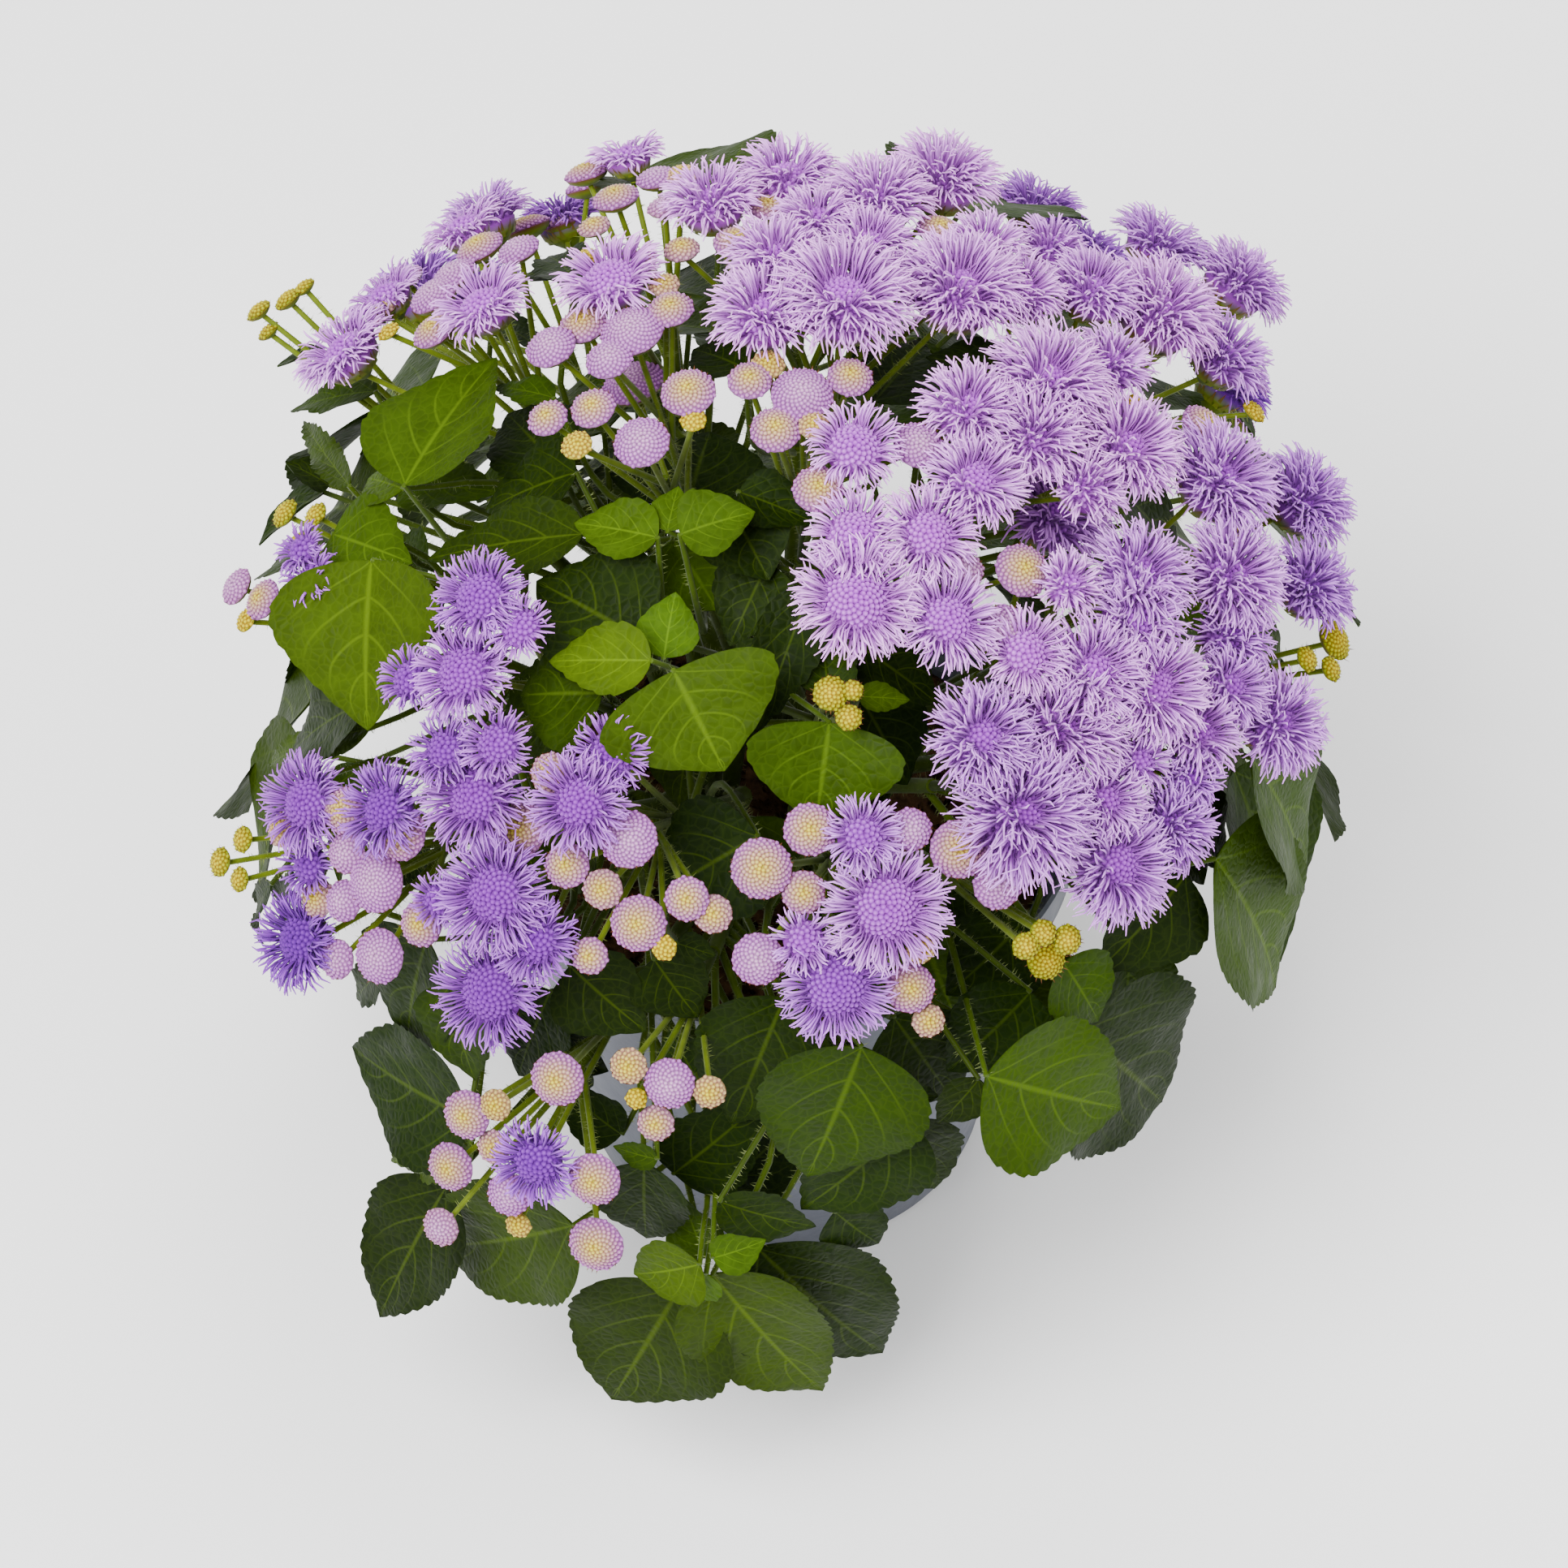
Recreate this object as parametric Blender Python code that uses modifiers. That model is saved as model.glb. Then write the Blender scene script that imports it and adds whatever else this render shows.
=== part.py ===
# A potted ageratum: nursery pot, soil, three branching stems, leafy shoots and flower sprays.
# Sizes are in millimetres in this file and become metres when a mesh is made.
# Flowers and leaves are placed by how far across and up they lie on a plane that faces
# the viewer, and each is then carried back along the line of sight to the plant's dome.

import math
import random
from collections import namedtuple

import bpy
import bmesh
from mathutils import Vector
from mathutils.bvhtree import BVHTree

MM = 0.001
SEED = 7
GAP = 0.3

# Pot
POT_HEIGHT = 76.0
POT_RIM_RADIUS = 46.0
POT_LIP_DEPTH = 9.0
POT_LIP_STEP = 1.5
POT_SHOULDER_RADIUS = 42.5
POT_BASE_RADIUS = 32.0
POT_WALL = 1.5
POT_FLOOR = 2.0
POT_STEPS = 20
DRAIN_RADIUS = 3.5
DRAIN_CIRCLE = 21.0
DRAIN_COUNT = 3

# Soil
SOIL_TOP = 66.0
SOIL_CROWN = 3.0
HOLE_FLOOR = 44.0

# Main stems
STEM_CIRCLE = 11.0
STEM_COUNT = 3
STEM_RADIUS = 3.0
FORK_HEIGHT = 78.0
BRANCH_RADIUS = 1.5
BRANCH_REACH = 0.42
BRANCH_BENDS = (3.0, -3.0, 6.0, -6.0, 9.0, -9.0, 12.0)
BRANCH_RUN = 3.0

# Dome of foliage and flowers
DOME_BASE = 80.0
DOME_RADIUS = 93.0
DOME_RISE = 102.0
SKIRT_FLOOR = 41.0

# Viewer
VIEW_HEIGHT = 50.0
VIEW_AIM = Vector((0.0, 0.0, 78.0))
VIEW_DISTANCE = 900.0

# Depths below the dome
HUB_DEPTH = 27.0
HUB_LOWEST = 86.0
SHOOT_TIP = 0.84
SHOOT_RADIUS = 1.3
PEDUNCLE_RADIUS = 1.0
RAY_RADIUS = 0.65
PETIOLE_RADIUS = 0.65
LEAF_THICKNESS = 1.5
PEDUNCLE_REACH = 9.0
FOOT_SHARES = (0.96, 0.88, 0.8, 0.7, 0.6, 0.5, 0.4, 0.3, 0.2)
PETIOLE_BENDS = (6.0, -6.0, 12.0, -12.0)
FEET_TRIED = 40
SLIDE_STEP = 1.5
SLIDES = 24
WELDS = (0.12, 0.06)

# Leaves no deeper than this are placed before the flower heads and so keep their places
FRONT_DEPTH = 5

Head = namedtuple("Head", "kind across up wide")
Leaf = namedtuple("Leaf", "across up tip_across tip_up wide depth")
Piece = namedtuple("Piece", "owner part points faces tree middle reach")


def heads(kind, *places):
    """Heads of one kind, each given by its place across and up and by its width."""
    return [Head(kind, *place) for place in places]


# Flower heads of each spray, read off the view: across, up, width
SPRAYS = {
    "spray_left_top": heads("open", (-67, 66, 15), (-46, 73, 14), (-61, 74.5, 12), (-49, 85, 12))
    + heads("bud", (-47, 82.8, 7.6), (-41, 82.5, 6.6), (-51, 78.6, 7.2), (-58.5, 78, 6.2))
    + heads("bud", (-54, 75.5, 8), (-54, 70, 7), (-62, 73.2, 5.6), (-61, 69.8, 3.6)),
    "spray_top_left": heads("open", (-24, 96, 11), (-26.5, 77, 15))
    + heads("bud", (-30.5, 94.3, 7), (-19.5, 93.5, 6.6), (-26, 90.5, 7.2), (-18.5, 89, 5.2))
    + heads("bud", (-29.3, 86, 5), (-15.8, 94, 5.5), (-21.5, 81.5, 3.6), (-30.5, 81.2, 4)),
    "spray_upper_left": heads("bud", (-23.5, 70, 9.4), (-31, 71, 7.4), (-36, 67.5, 7.6))
    + heads("bud", (-17.5, 73.3, 6.8), (-18.5, 77, 4.6), (-27, 65.6, 7)),
    "spray_stalked": heads("bud", (-23.3, 62, 9.4), (-14.8, 60.5, 8), (-29.5, 58, 6.6))
    + heads("bud", (-36.5, 56.5, 6), (-22, 52.8, 8.2), (-14, 56.2, 3.8), (-32, 52.3, 4.6)),
    "spray_upper_middle": heads("open", (10.8, 51.5, 13))
    + heads("bud", (-5.3, 62.3, 6.4), (-2.5, 64.7, 5), (2.8, 60.2, 9), (-1.3, 54.7, 7.3))
    + heads("bud", (4.6, 55.3, 4.5), (10.2, 62.8, 6.6), (20.8, 52.3, 7.4), (5.3, 45.5, 7.4)),
    "spray_top_middle": heads("open", (-11, 88.5, 13), (0.5, 92.5, 13), (14.5, 89, 14), (24, 92, 15))
    + heads("bud", (-7.3, 83.7, 7), (-15.8, 82.5, 5.4), (-2.5, 89, 6), (24, 85.5, 7)),
    "spray_upper_full": heads("open", (9, 73.5, 18), (-3, 71.5, 14), (-1.5, 80, 13), (26.5, 75, 17))
    + heads("open", (5, 86, 11), (13, 82, 12), (31, 82, 11), (18.5, 77, 9)),
    "spray_top_right": heads("open", (36, 75, 12), (41, 82, 10), (47, 75, 13), (57, 82, 13))
    + heads("open", (57, 71.5, 17), (69, 76, 14), (67, 65, 13), (50, 64, 11))
    + heads("bud", (65, 55, 8), (72.5, 57.5, 4), (54, 58.5, 3.6)),
    "spray_right_high": heads("open", (40, 61, 16), (38, 53, 14), (52, 51, 15), (28, 57, 13))
    + heads("open", (29, 46, 13), (46, 45.5, 11)),
    "spray_middle": heads("open", (11, 28, 17), (11, 38, 13), (22, 38, 14), (25, 25, 14))
    + heads("open", (37, 20, 12))
    + heads("bud", (28, 33, 5.4), (34, 24, 7.2), (36.8, 33, 8)),
    "spray_right_top": heads("open", (66, 46, 16), (79, 43, 14), (80, 30, 13), (68, 31.5, 15))
    + heads("bud", (69, 38.5, 4)),
    "spray_right": heads("open", (41, 41, 15), (54, 31.5, 14), (53.5, 25, 13), (47, 17, 14))
    + heads("open", (56, 14.5, 15), (68, 22.5, 12), (68, 14.5, 11), (43.5, 30.5, 9)),
    "spray_right_edge": heads("open", (75, 9, 14), (63, 8, 12), (62, 1, 9), (54.5, 3.5, 8)),
    "spray_low_right": heads("open", (30, 7, 14), (42, 8.5, 17), (36, -4.5, 18), (50.5, -12.5, 15))
    + heads("open", (59, -6.5, 12), (49, -2.5, 11))
    + heads("bud", (27, -10, 8.4), (33, -15.5, 7.2)),
    "spray_low_middle": heads("open", (12, -8, 11), (15.5, -19, 17), (8, -31, 15), (3, -24, 9))
    + heads("bud", (19.5, -7, 6.2), (4, -7, 7.5), (-3.5, -13, 8.7), (3, -16.7, 6.2))
    + heads("bud", (-4, -27, 7.5), (19.5, -31.5, 7.2), (22.3, -36.5, 4.8), (21, -25.5, 4.2)),
    "spray_left_high": heads("open", (-46.5, 28.5, 13), (-49, 17, 14), (-52, 5, 10), (-44, 6, 10))
    + heads("open", (-40.5, 24, 9), (-57.5, 16, 9)),
    "spray_left_middle": heads("open", (-47, -2, 15), (-44, -17, 16), (-38, -24, 12))
    + heads("open", (-45, -32, 15), (-53, -18, 8)),
    "spray_middle_left": heads("open", (-26.5, 4.5, 11), (-31, -3, 14))
    + heads("bud", (-41, -7, 8.4), (-36, 1.7, 6), (-24, -8.5, 8.3), (-33.5, -12.5, 6.6))
    + heads("bud", (-28, -16.2, 5.8), (-22.5, -21.5, 8.1), (-30, -26.5, 5.4), (-18.5, -25.3, 3.6))
    + heads("bud", (-15, -17.7, 6.4), (-11, -20, 5.6)),
    "spray_left": heads("open", (-73, -3, 14), (-61, -4, 13), (-74, -24, 14), (-73, -12.5, 9))
    + heads("bud", (-68, -4, 7), (-59, -7.7, 7.8), (-77.5, -7, 5.2), (-63, -15, 9.2))
    + heads("bud", (-67.5, -10.5, 6.4), (-72, -17.5, 6), (-68, -18, 6.2), (-69, -27, 6))
    + heads("bud", (-62.5, -26.5, 8.2), (-56, -21.5, 6.8)),
    "spray_left_edge": heads("bud", (-80.5, 28.5, 6.5), (-84.5, 30.5, 6), (-83, 25.3, 3.8))
    + heads("open", (-72.5, 31.5, 9), (-74, 36, 8)),
    "spray_bottom_left": heads("open", (-38, -58, 12))
    + heads("bud", (-35, -45.5, 8), (-49, -51, 7.4), (-44.5, -49.5, 4.8), (-51.5, -59, 7.4))
    + heads("bud", (-44.8, -56, 5.2), (-42.5, -63.3, 6.8), (-53, -68.3, 6), (-29.3, -61, 7.9))
    + heads("bud", (-29, -71, 8.4), (-41, -68, 4)),
    "spray_bottom": heads("bud", (-17.7, -46.2, 7.4), (-24, -43.5, 5.4), (-11.5, -47.5, 4.8))
    + heads("bud", (-19.8, -52.3, 5.4), (-22.8, -48.5, 3.2)),
}

# Young green bud clusters that end a leafy shoot: across, up, width
YOUNG = {
    "tip_green_top_left": heads("bud", (-76.5, 74.8, 4.8), (-81, 73, 4.4), (-79.5, 69.8, 3.8), (-74, 76.6, 3.8)),
    "tip_green_left": heads("bud", (-77, 41.8, 4.8), (-72.3, 41.5, 4.2), (-75, 37.3, 3.6)),
    "tip_green_left_low": heads("bud", (-87, -12, 4.5), (-83.5, -8.5, 4), (-84, -14.7, 3.8)),
    "tip_green_middle": heads("bud", (7.2, 14, 5), (10, 10.3, 3.8), (10.6, 14.5, 3)),
    "tip_green_low_right": heads("bud", (40.5, -27, 6), (43.7, -24, 4.4), (40, -23, 4), (37.3, -25, 4)),
    "tip_green_right": heads("bud", (85, 22.3, 6.5), (80.7, 19.3, 4), (84.4, 17.8, 4)),
}

# Sprays on the side that the view doesn't show: angle round the dome, height angle, heads
FAR_SPRAYS = {
    "spray_far_left": (128.0, 24.0),
    "spray_far_right": (52.0, 24.0),
}
FAR_HEADS = 8

# Leaves: base across and up, tip across and up, width, depth below the dome
LEAVES = [
    Leaf(-58.5, 46, -46.5, 67, 18, 4),
    Leaf(-58.8, 45.5, -65, 48, 7, 5),
    Leaf(-58.8, 45.8, -45.5, 46.5, 8, 6),
    Leaf(-63, 60.5, -77.2, 59.5, 6, 8),
    Leaf(-67, 46, -77, 58.5, 4, 8),
    Leaf(-70, 46, -76, 50, 6, 12),
    Leaf(-70.5, 66.5, -78, 65.5, 6, 9),
    Leaf(-32, 77.5, -37.5, 84.5, 7, 10),
    Leaf(-35, 78, -43, 79.7, 3, 12),
    Leaf(-45, 71.5, -37.5, 68.5, 4, 12),
    Leaf(-35.5, 59.5, -45.5, 62.5, 4, 8),
    Leaf(-35, 49, -43.5, 58.5, 11, 12),
    Leaf(-58, 58, -66, 52, 10, 16),
    Leaf(-69.5, 38.5, -59.3, 35.3, 11, 5),
    Leaf(-63.5, 34.5, -66.3, 9.5, 24, 3),
    Leaf(-71, 45, -81.5, 38.5, 10, 12),
    Leaf(-64, 13, -79.5, 6, 9, 10),
    Leaf(-64, 8.5, -84.3, 4.3, 5.5, 7),
    Leaf(-76, -1, -81.7, -5.6, 5, 12),
    Leaf(-32, 48, -47, 43.5, 10, 14),
    Leaf(-31, 38.5, -56.5, 36.5, 9, 8),
    Leaf(-21.5, 22, -38.5, 32, 15.5, 8),
    Leaf(-20.5, 19, -36.5, 19.5, 8.5, 3),
    Leaf(-28, 14, -45.5, 14.2, 18, 6),
    Leaf(-18.5, 19.5, -17, 29.5, 7.5, 3),
    Leaf(-17, 17.5, -9.5, 2.5, 21, 3),
    Leaf(-16, 38.5, -5, 42.5, 8.5, 5),
    Leaf(-19.5, 38, -32.5, 41, 7.5, 5),
    Leaf(-17, 37.5, -10.5, 27.5, 15, 4),
    Leaf(-18, 39, -16.5, 46, 5, 6),
    Leaf(-15, 42, -12, 55, 18, 14),
    Leaf(-7, 45, 4.3, 41.2, 7, 12),
    Leaf(-8, 42, -2.5, 32.3, 11, 11),
    Leaf(-2.5, 34, -8.5, 22, 9, 14),
    Leaf(4, 30, -4, 9, 7.5, 12),
    Leaf(-4, 22.5, -6, 6.5, 6, 14),
    Leaf(7, 9.5, 5, -6, 17, 5),
    Leaf(11.5, 13.5, 19.5, 13.2, 3.4, 7),
    Leaf(6.8, 14, 6, 22.5, 6.5, 8),
    Leaf(12, 13, 22, -4, 15, 17),
    Leaf(12, 21, 24, 13, 9, 19),
    Leaf(14, 59, 22, 69, 11, 13),
    Leaf(36, 62, 23, 67, 9, 12),
    Leaf(52, 45, 63, 35, 12, 16),
    Leaf(71.8, 24.8, 79, 16, 7.5, 8),
    Leaf(77, 13.5, 82, 6.5, 5, 10),
    Leaf(72, 4, 85.5, -14.6, 19, 5),
    Leaf(66.5, -11.5, 81.5, -32, 22, 4),
    Leaf(62, -14, 50, -29, 13, 12),
    Leaf(61, -3, 70.5, -11.5, 9, 13),
    Leaf(37, -21, 26, -33, 12.5, 12),
    Leaf(43, -27.5, 49.5, -37, 9.5, 7),
    Leaf(38, -32, 26, -45, 13, 14),
    Leaf(31.2, -45, 54, -51.5, 19, 4),
    Leaf(45, -38, 62, -51, 23, 9),
    Leaf(30, -45.5, 24, -53, 6, 9),
    Leaf(12, -40.5, 3.8, -62.4, 19, 6),
    Leaf(17, -36, 27, -50, 12, 10),
    Leaf(17, -47.5, 24, -48.5, 3.4, 12),
    Leaf(19.5, -52, 3, -67.5, 13.5, 9),
    Leaf(19.5, -52, 24, -64, 9.5, 12),
    Leaf(0, -33, -8.5, -54, 15, 8),
    Leaf(-4, -8, -19.5, -17, 14, 16),
    Leaf(-33, -28, -22, -38.5, 11, 12),
    Leaf(-20, -27, -13.5, -36.5, 9, 14),
    Leaf(-16.5, -24.5, -10.7, -26.5, 3.6, 11),
    Leaf(-36, -32, -42.5, -46, 11, 14),
    Leaf(-25, -54, -34.5, -47.5, 8, 11),
    Leaf(-14, -44.5, -17.5, -38.5, 7, 14),
    Leaf(-17, -60, -4, -50.5, 11, 15),
    Leaf(-10, -62.5, 3, -52, 10, 17),
    Leaf(-21.5, -58.5, -22, -72, 11, 9),
    Leaf(-19.5, -57.8, -26.5, -56.3, 3.4, 8),
    Leaf(-13, -74, -23.5, -76.5, 10, 3),
    Leaf(-12, -73, -15.5, -65.5, 7.5, 4),
    Leaf(-11, -73, -3.2, -71, 6, 4),
    Leaf(-12, -75.5, -14.5, -80.5, 5.5, 3),
    Leaf(-16, -77.5, -27.5, -97, 20, 6),
    Leaf(-11, -75.5, 6, -97, 17, 4),
    Leaf(-4, -71.5, 16, -91.5, 19, 8),
    Leaf(-10, -64.3, 4.8, -69.5, 7, 9),
    Leaf(8, -66, 15, -72, 8, 14),
    Leaf(-48.5, -51.5, -69, -42, 17, 8),
    Leaf(-55, -24, -60.5, -41, 15, 10),
    Leaf(-62, -29, -68, -33.7, 5, 14),
    Leaf(-51.5, -31, -49, -46.5, 9.5, 8),
    Leaf(-48, -55, -63.7, -60, 7, 6),
    Leaf(-52, -62, -64.5, -83, 14, 9),
    Leaf(-32.5, -68, -57, -74, 17, 6),
    Leaf(-79, -15.5, -85.7, -24.5, 3.6, 10),
    Leaf(-75.5, -14, -82, -23.2, 4, 12),
    Leaf(-60, -8, -53.5, -16.8, 7, 14),
    Leaf(70, 57, 73, 53.5, 4.5, 9),
    Leaf(-6, 64, -14, 68, 9, 15),
    Leaf(-38, -38, -28, -45, 9, 16),
    Leaf(24, -14, 33, -22, 9, 16),
]

# Leaves that fill the far side, in rings: height angle, count, length, width
FAR_RINGS = [(-6.0, 7, 34.0, 27.0), (20.0, 6, 34.0, 27.0), (48.0, 4, 32.0, 25.0)]

# Leaves under the flowers, all round the dome, in spirals: count, depth, length, width
INNER_LEAVES = [(18, 19.0, 30.0, 25.0), (44, 28.0, 18.0, 14.0)]


def view_axes():
    """The viewer's place, and the view's across and up directions."""
    tilt = math.radians(VIEW_HEIGHT)
    ahead = Vector((0.0, math.cos(tilt), -math.sin(tilt)))
    up = Vector((0.0, math.sin(tilt), math.cos(tilt)))
    return VIEW_AIM - ahead * VIEW_DISTANCE, Vector((1.0, 0.0, 0.0)), up


EYE, ACROSS, UPWARD = view_axes()


def sight(across, up):
    """The direction from the viewer through a place on the view's plane."""
    return (VIEW_AIM + ACROSS * across + UPWARD * up - EYE).normalized()


def dome_level(point, depth):
    """1 on the dome sunk by a depth, less inside it, more outside."""
    wide = DOME_RADIUS - depth
    rise = DOME_RISE - depth
    above = max(0.0, point.z - DOME_BASE)
    below = max(0.0, SKIRT_FLOOR - point.z)
    return (point.x**2 + point.y**2) / wide**2 + above**2 / rise**2 + (below / 20.0) ** 2


def on_dome(across, up, depth):
    """Where a line of sight meets the dome sunk by a depth, or comes nearest to it."""
    ray = sight(across, up)
    best = None
    for step in range(400):
        point = EYE + ray * (VIEW_DISTANCE - 200.0 + step)
        level = dome_level(point, depth)
        if level <= 1.0:
            return point
        if best is None or level < best[0]:
            best = (level, point)
    return best[1]


def dome_normal(point):
    """The direction straight out of the dome at a point."""
    above = max(0.0, point.z - DOME_BASE)
    out = Vector((point.x / DOME_RADIUS**2, point.y / DOME_RADIUS**2, above / DOME_RISE**2))
    return out.normalized()


def head_axis(point):
    """The way a head at a point faces: outward, and turned up toward the light."""
    out = dome_normal(point)
    return (out + Vector((0.0, 0.0, 0.55 - 0.35 * out.z))).normalized()


def frame_along(axis):
    """Two directions square to an axis."""
    side = axis.cross(Vector((0.0, 0.0, 1.0)))
    if side.length < 0.05:
        side = Vector((1.0, 0.0, 0.0))
    side.normalize()
    return side, axis.cross(side).normalized()


def tube(points, radii, sides=4):
    """A closed tube of flat sides along a list of points."""
    verts = []
    count = len(points)
    for i, point in enumerate(points):
        ahead = points[min(i + 1, count - 1)] - points[max(i - 1, 0)]
        side, other = frame_along(ahead.normalized())
        for k in range(sides):
            turn = 2.0 * math.pi * k / sides
            verts.append(point + (side * math.cos(turn) + other * math.sin(turn)) * radii[i])
    faces = []
    for i in range(count - 1):
        for k in range(sides):
            a = i * sides + k
            b = i * sides + (k + 1) % sides
            faces.append((a, b, b + sides))
            faces.append((a, b + sides, a + sides))
    faces.append(tuple(reversed(range(sides))))
    faces.append(tuple(range((count - 1) * sides, count * sides)))
    return verts, faces


def carried(spokes, axis, way):
    """Directions square to an axis, swung with it until it points another way."""
    swing = axis.rotation_difference(way)
    return [swing @ spoke for spoke in spokes]


def spokes_round(axis, count, turn):
    """Directions spread evenly round an axis."""
    side, other = frame_along(axis)
    angles = [turn + 2.0 * math.pi * k / count for k in range(count)]
    return [side * math.cos(a) + other * math.sin(a) for a in angles]


def band(faces, first, second, count):
    """Faces of four corners between two rings of as many points."""
    for k in range(count):
        after = (k + 1) % count
        faces.append((first + k, first + after, second + after, second + k))


def stalked(foot, place, axis, rings, sides, turn):
    """A head of rings, each of a radius, a height and a crimp, drawn down into its stalk."""
    spokes = spokes_round(axis, sides, turn)
    half = sides // 2
    neck = place + axis * rings[0][1]
    way = (neck - foot).normalized()
    verts = [foot + spoke * RAY_RADIUS for spoke in carried(spokes[::2], axis, way)]
    verts += [neck + spoke * RAY_RADIUS for spoke in spokes[::2]]
    faces = [tuple(reversed(range(half)))]
    band(faces, 0, half, half)
    for radius, height, crimp in rings[1:-1]:
        for k, spoke in enumerate(spokes):
            verts.append(place + spoke * (radius * (1.0 + crimp * (-1) ** k)) + axis * height)
    verts.append(place + axis * rings[-1][1])
    start = 2 * half
    for k in range(half):
        low, low_after = half + k, half + (k + 1) % half
        a, b, c = start + 2 * k, start + 2 * k + 1, start + (2 * k + 2) % sides
        faces += [(low, b, a), (low, low_after, b), (low_after, c, b)]
    for ring in range(len(rings) - 3):
        band(faces, start + ring * sides, start + (ring + 1) * sides, sides)
    last = len(verts) - 1
    for k in range(sides):
        faces.append((last - sides + k, last - sides + (k + 1) % sides, last))
    return verts, faces


def bud(foot, place, axis, wide, turn):
    """A flower head in bud: a flat dome of packed florets on a green cup."""
    r = wide / 2.0
    rings = [(0, -0.62 * r), (r, -0.08 * r, 0.05), (0.62 * r, 0.30 * r, -0.07), (0, 0.40 * r)]
    if wide < 5.7:
        rings.pop(2)
    return stalked(foot, place, axis, rings, 8 if wide > 7.3 else 6, turn)


def open_head(foot, place, axis, wide, turn):
    """An open head: a cup and a mound, each side of the mound drawn out to a spike."""
    r = wide / 2.0
    rings = [
        (0, -0.50 * r),
        (0.60 * r, -0.20 * r, 0.0),
        (0.66 * r, 0.06 * r, 0.0),
        (0.36 * r, 0.30 * r, 0.0),
        (0, 0.38 * r),
    ]
    sides = 8 if wide > 13.5 else 6
    if wide < 16.5:
        rings[2:4] = [(0.52 * r, 0.18 * r, 0.0)]
    verts, faces = stalked(foot, place, axis, rings, sides, turn)
    spiked = []
    for index, face in enumerate(faces):
        if len(face) < 4 or index <= sides // 2:
            spiked.append(face)
            continue
        middle = sum((verts[i] for i in face), Vector()) / 4.0
        out = (middle - place).normalized()
        verts.append(place + out * r + axis * (0.10 * r))
        for i in range(4):
            spiked.append((face[i], face[(i + 1) % 4], len(verts) - 1))
    return verts, spiked


def leaf_frame(base, tip, facing):
    """The directions along a leaf, out to its side and out of its face, and its length."""
    along = tip - base
    length = along.length
    along = along / length
    face = (facing - along * facing.dot(along)).normalized()
    return along, along.cross(face), face, length


def leaf_half_width(t):
    """A leaf's half width at a share of its length, as a share of its greatest."""
    return (t**0.42) * ((1.0 - t) ** 0.62) / 0.4957


def leaf(route, tip, facing, wide):
    """A toothed blade with a thick midrib and a thin edge, drawn down into its stalk."""
    base = route[-1]
    along, side, face, length = leaf_frame(base, tip, facing)
    teeth = 7 if length > 14.0 else 5

    def surface(t, across):
        sag = -0.14 * length * t * t
        fold = 0.22 * abs(across)
        return base + along * (t * length) + side * across + face * (sag + fold)

    def edge(i, hand):
        t = (i + 0.7) / (teeth + 0.35)
        notch = 1.0 if i % 2 == 0 else 0.88
        return surface(t, hand * 0.5 * wide * leaf_half_width(t) * notch)

    verts = []
    spokes = [side, face, -side, -face]
    for i, point in enumerate(route):
        back = (point - route[i - 1]).normalized() if i else None
        ahead = (route[i + 1] - point).normalized() if i + 1 < len(route) else along
        way = ahead if back is None else (back + ahead).normalized()
        if way.length < 0.5:
            way = along
        verts += [point + spoke * PETIOLE_RADIUS for spoke in carried(spokes, along, way)]
    faces = [(3, 2, 1, 0)]
    for i in range(len(route) - 1):
        band(faces, 4 * i, 4 * i + 4, 4)
    neck = 4 * (len(route) - 1)
    right = [neck] + list(range(len(verts), len(verts) + teeth))
    verts += [edge(i, 1.0) for i in range(teeth)]
    left = [neck + 2] + list(range(len(verts), len(verts) + teeth))
    verts += [edge(i, -1.0) for i in range(teeth)]
    middles = [surface(t, 0.0) for t in (0.3, 0.66)]
    upper = [neck + 1, len(verts), len(verts) + 1]
    verts += [m + face * (0.5 * LEAF_THICKNESS) for m in middles]
    lower = [neck + 3, len(verts), len(verts) + 1]
    verts += [m - face * (0.5 * LEAF_THICKNESS) for m in middles]
    verts.append(surface(1.0, 0.0))
    end = len(verts) - 1
    for line, rib, flip in ((right, upper, 0), (left, upper, 1), (right, lower, 1), (left, lower, 0)):
        for tri in strip(line + [end], rib + [end]):
            faces.append(tri[::-1] if flip else tri)
    return verts, faces


def strip(line, rib):
    """Triangles between a leaf's edge and its midrib, which share their last point."""
    tris = []
    at = 0
    for k in range(len(rib) - 1):
        goal = round((k + 1) * (len(line) - 1) / (len(rib) - 0.5)) if k + 2 < len(rib) else len(line) - 1
        while at < goal:
            tris.append((line[at], line[at + 1], rib[k]))
            at += 1
        if k + 2 < len(rib):
            tris.append((line[at], rib[k + 1], rib[k]))
    return tris


def swollen(shape, amount):
    """The same shape, grown outward from its middle by about an amount."""
    verts, faces = shape
    middle = sum(verts, Vector()) / len(verts)
    grown = []
    for v in verts:
        out = v - middle
        grown.append(v + out.normalized() * amount if out.length > 0.01 else v.copy())
    return grown, faces


def as_piece(owner, part, shape):
    """A placed shape, with what is needed to test it against others."""
    verts, faces = shape
    middle = sum(verts, Vector()) / len(verts)
    reach = max((v - middle).length for v in verts)
    return Piece(owner, part, verts, faces, BVHTree.FromPolygons(verts, faces), middle, reach)


def is_clear(shape, owner, placed, strict):
    """True if a shape, grown by the gap, meets nothing but the stem that carries it."""
    piece = as_piece(owner, "trial", swollen(shape, GAP))
    for other in placed:
        if other.owner == owner and (other.part == "stem" or not strict):
            continue
        if (other.middle - piece.middle).length > other.reach + piece.reach:
            continue
        if piece.tree.overlap(other.tree):
            return False
    return True


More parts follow.
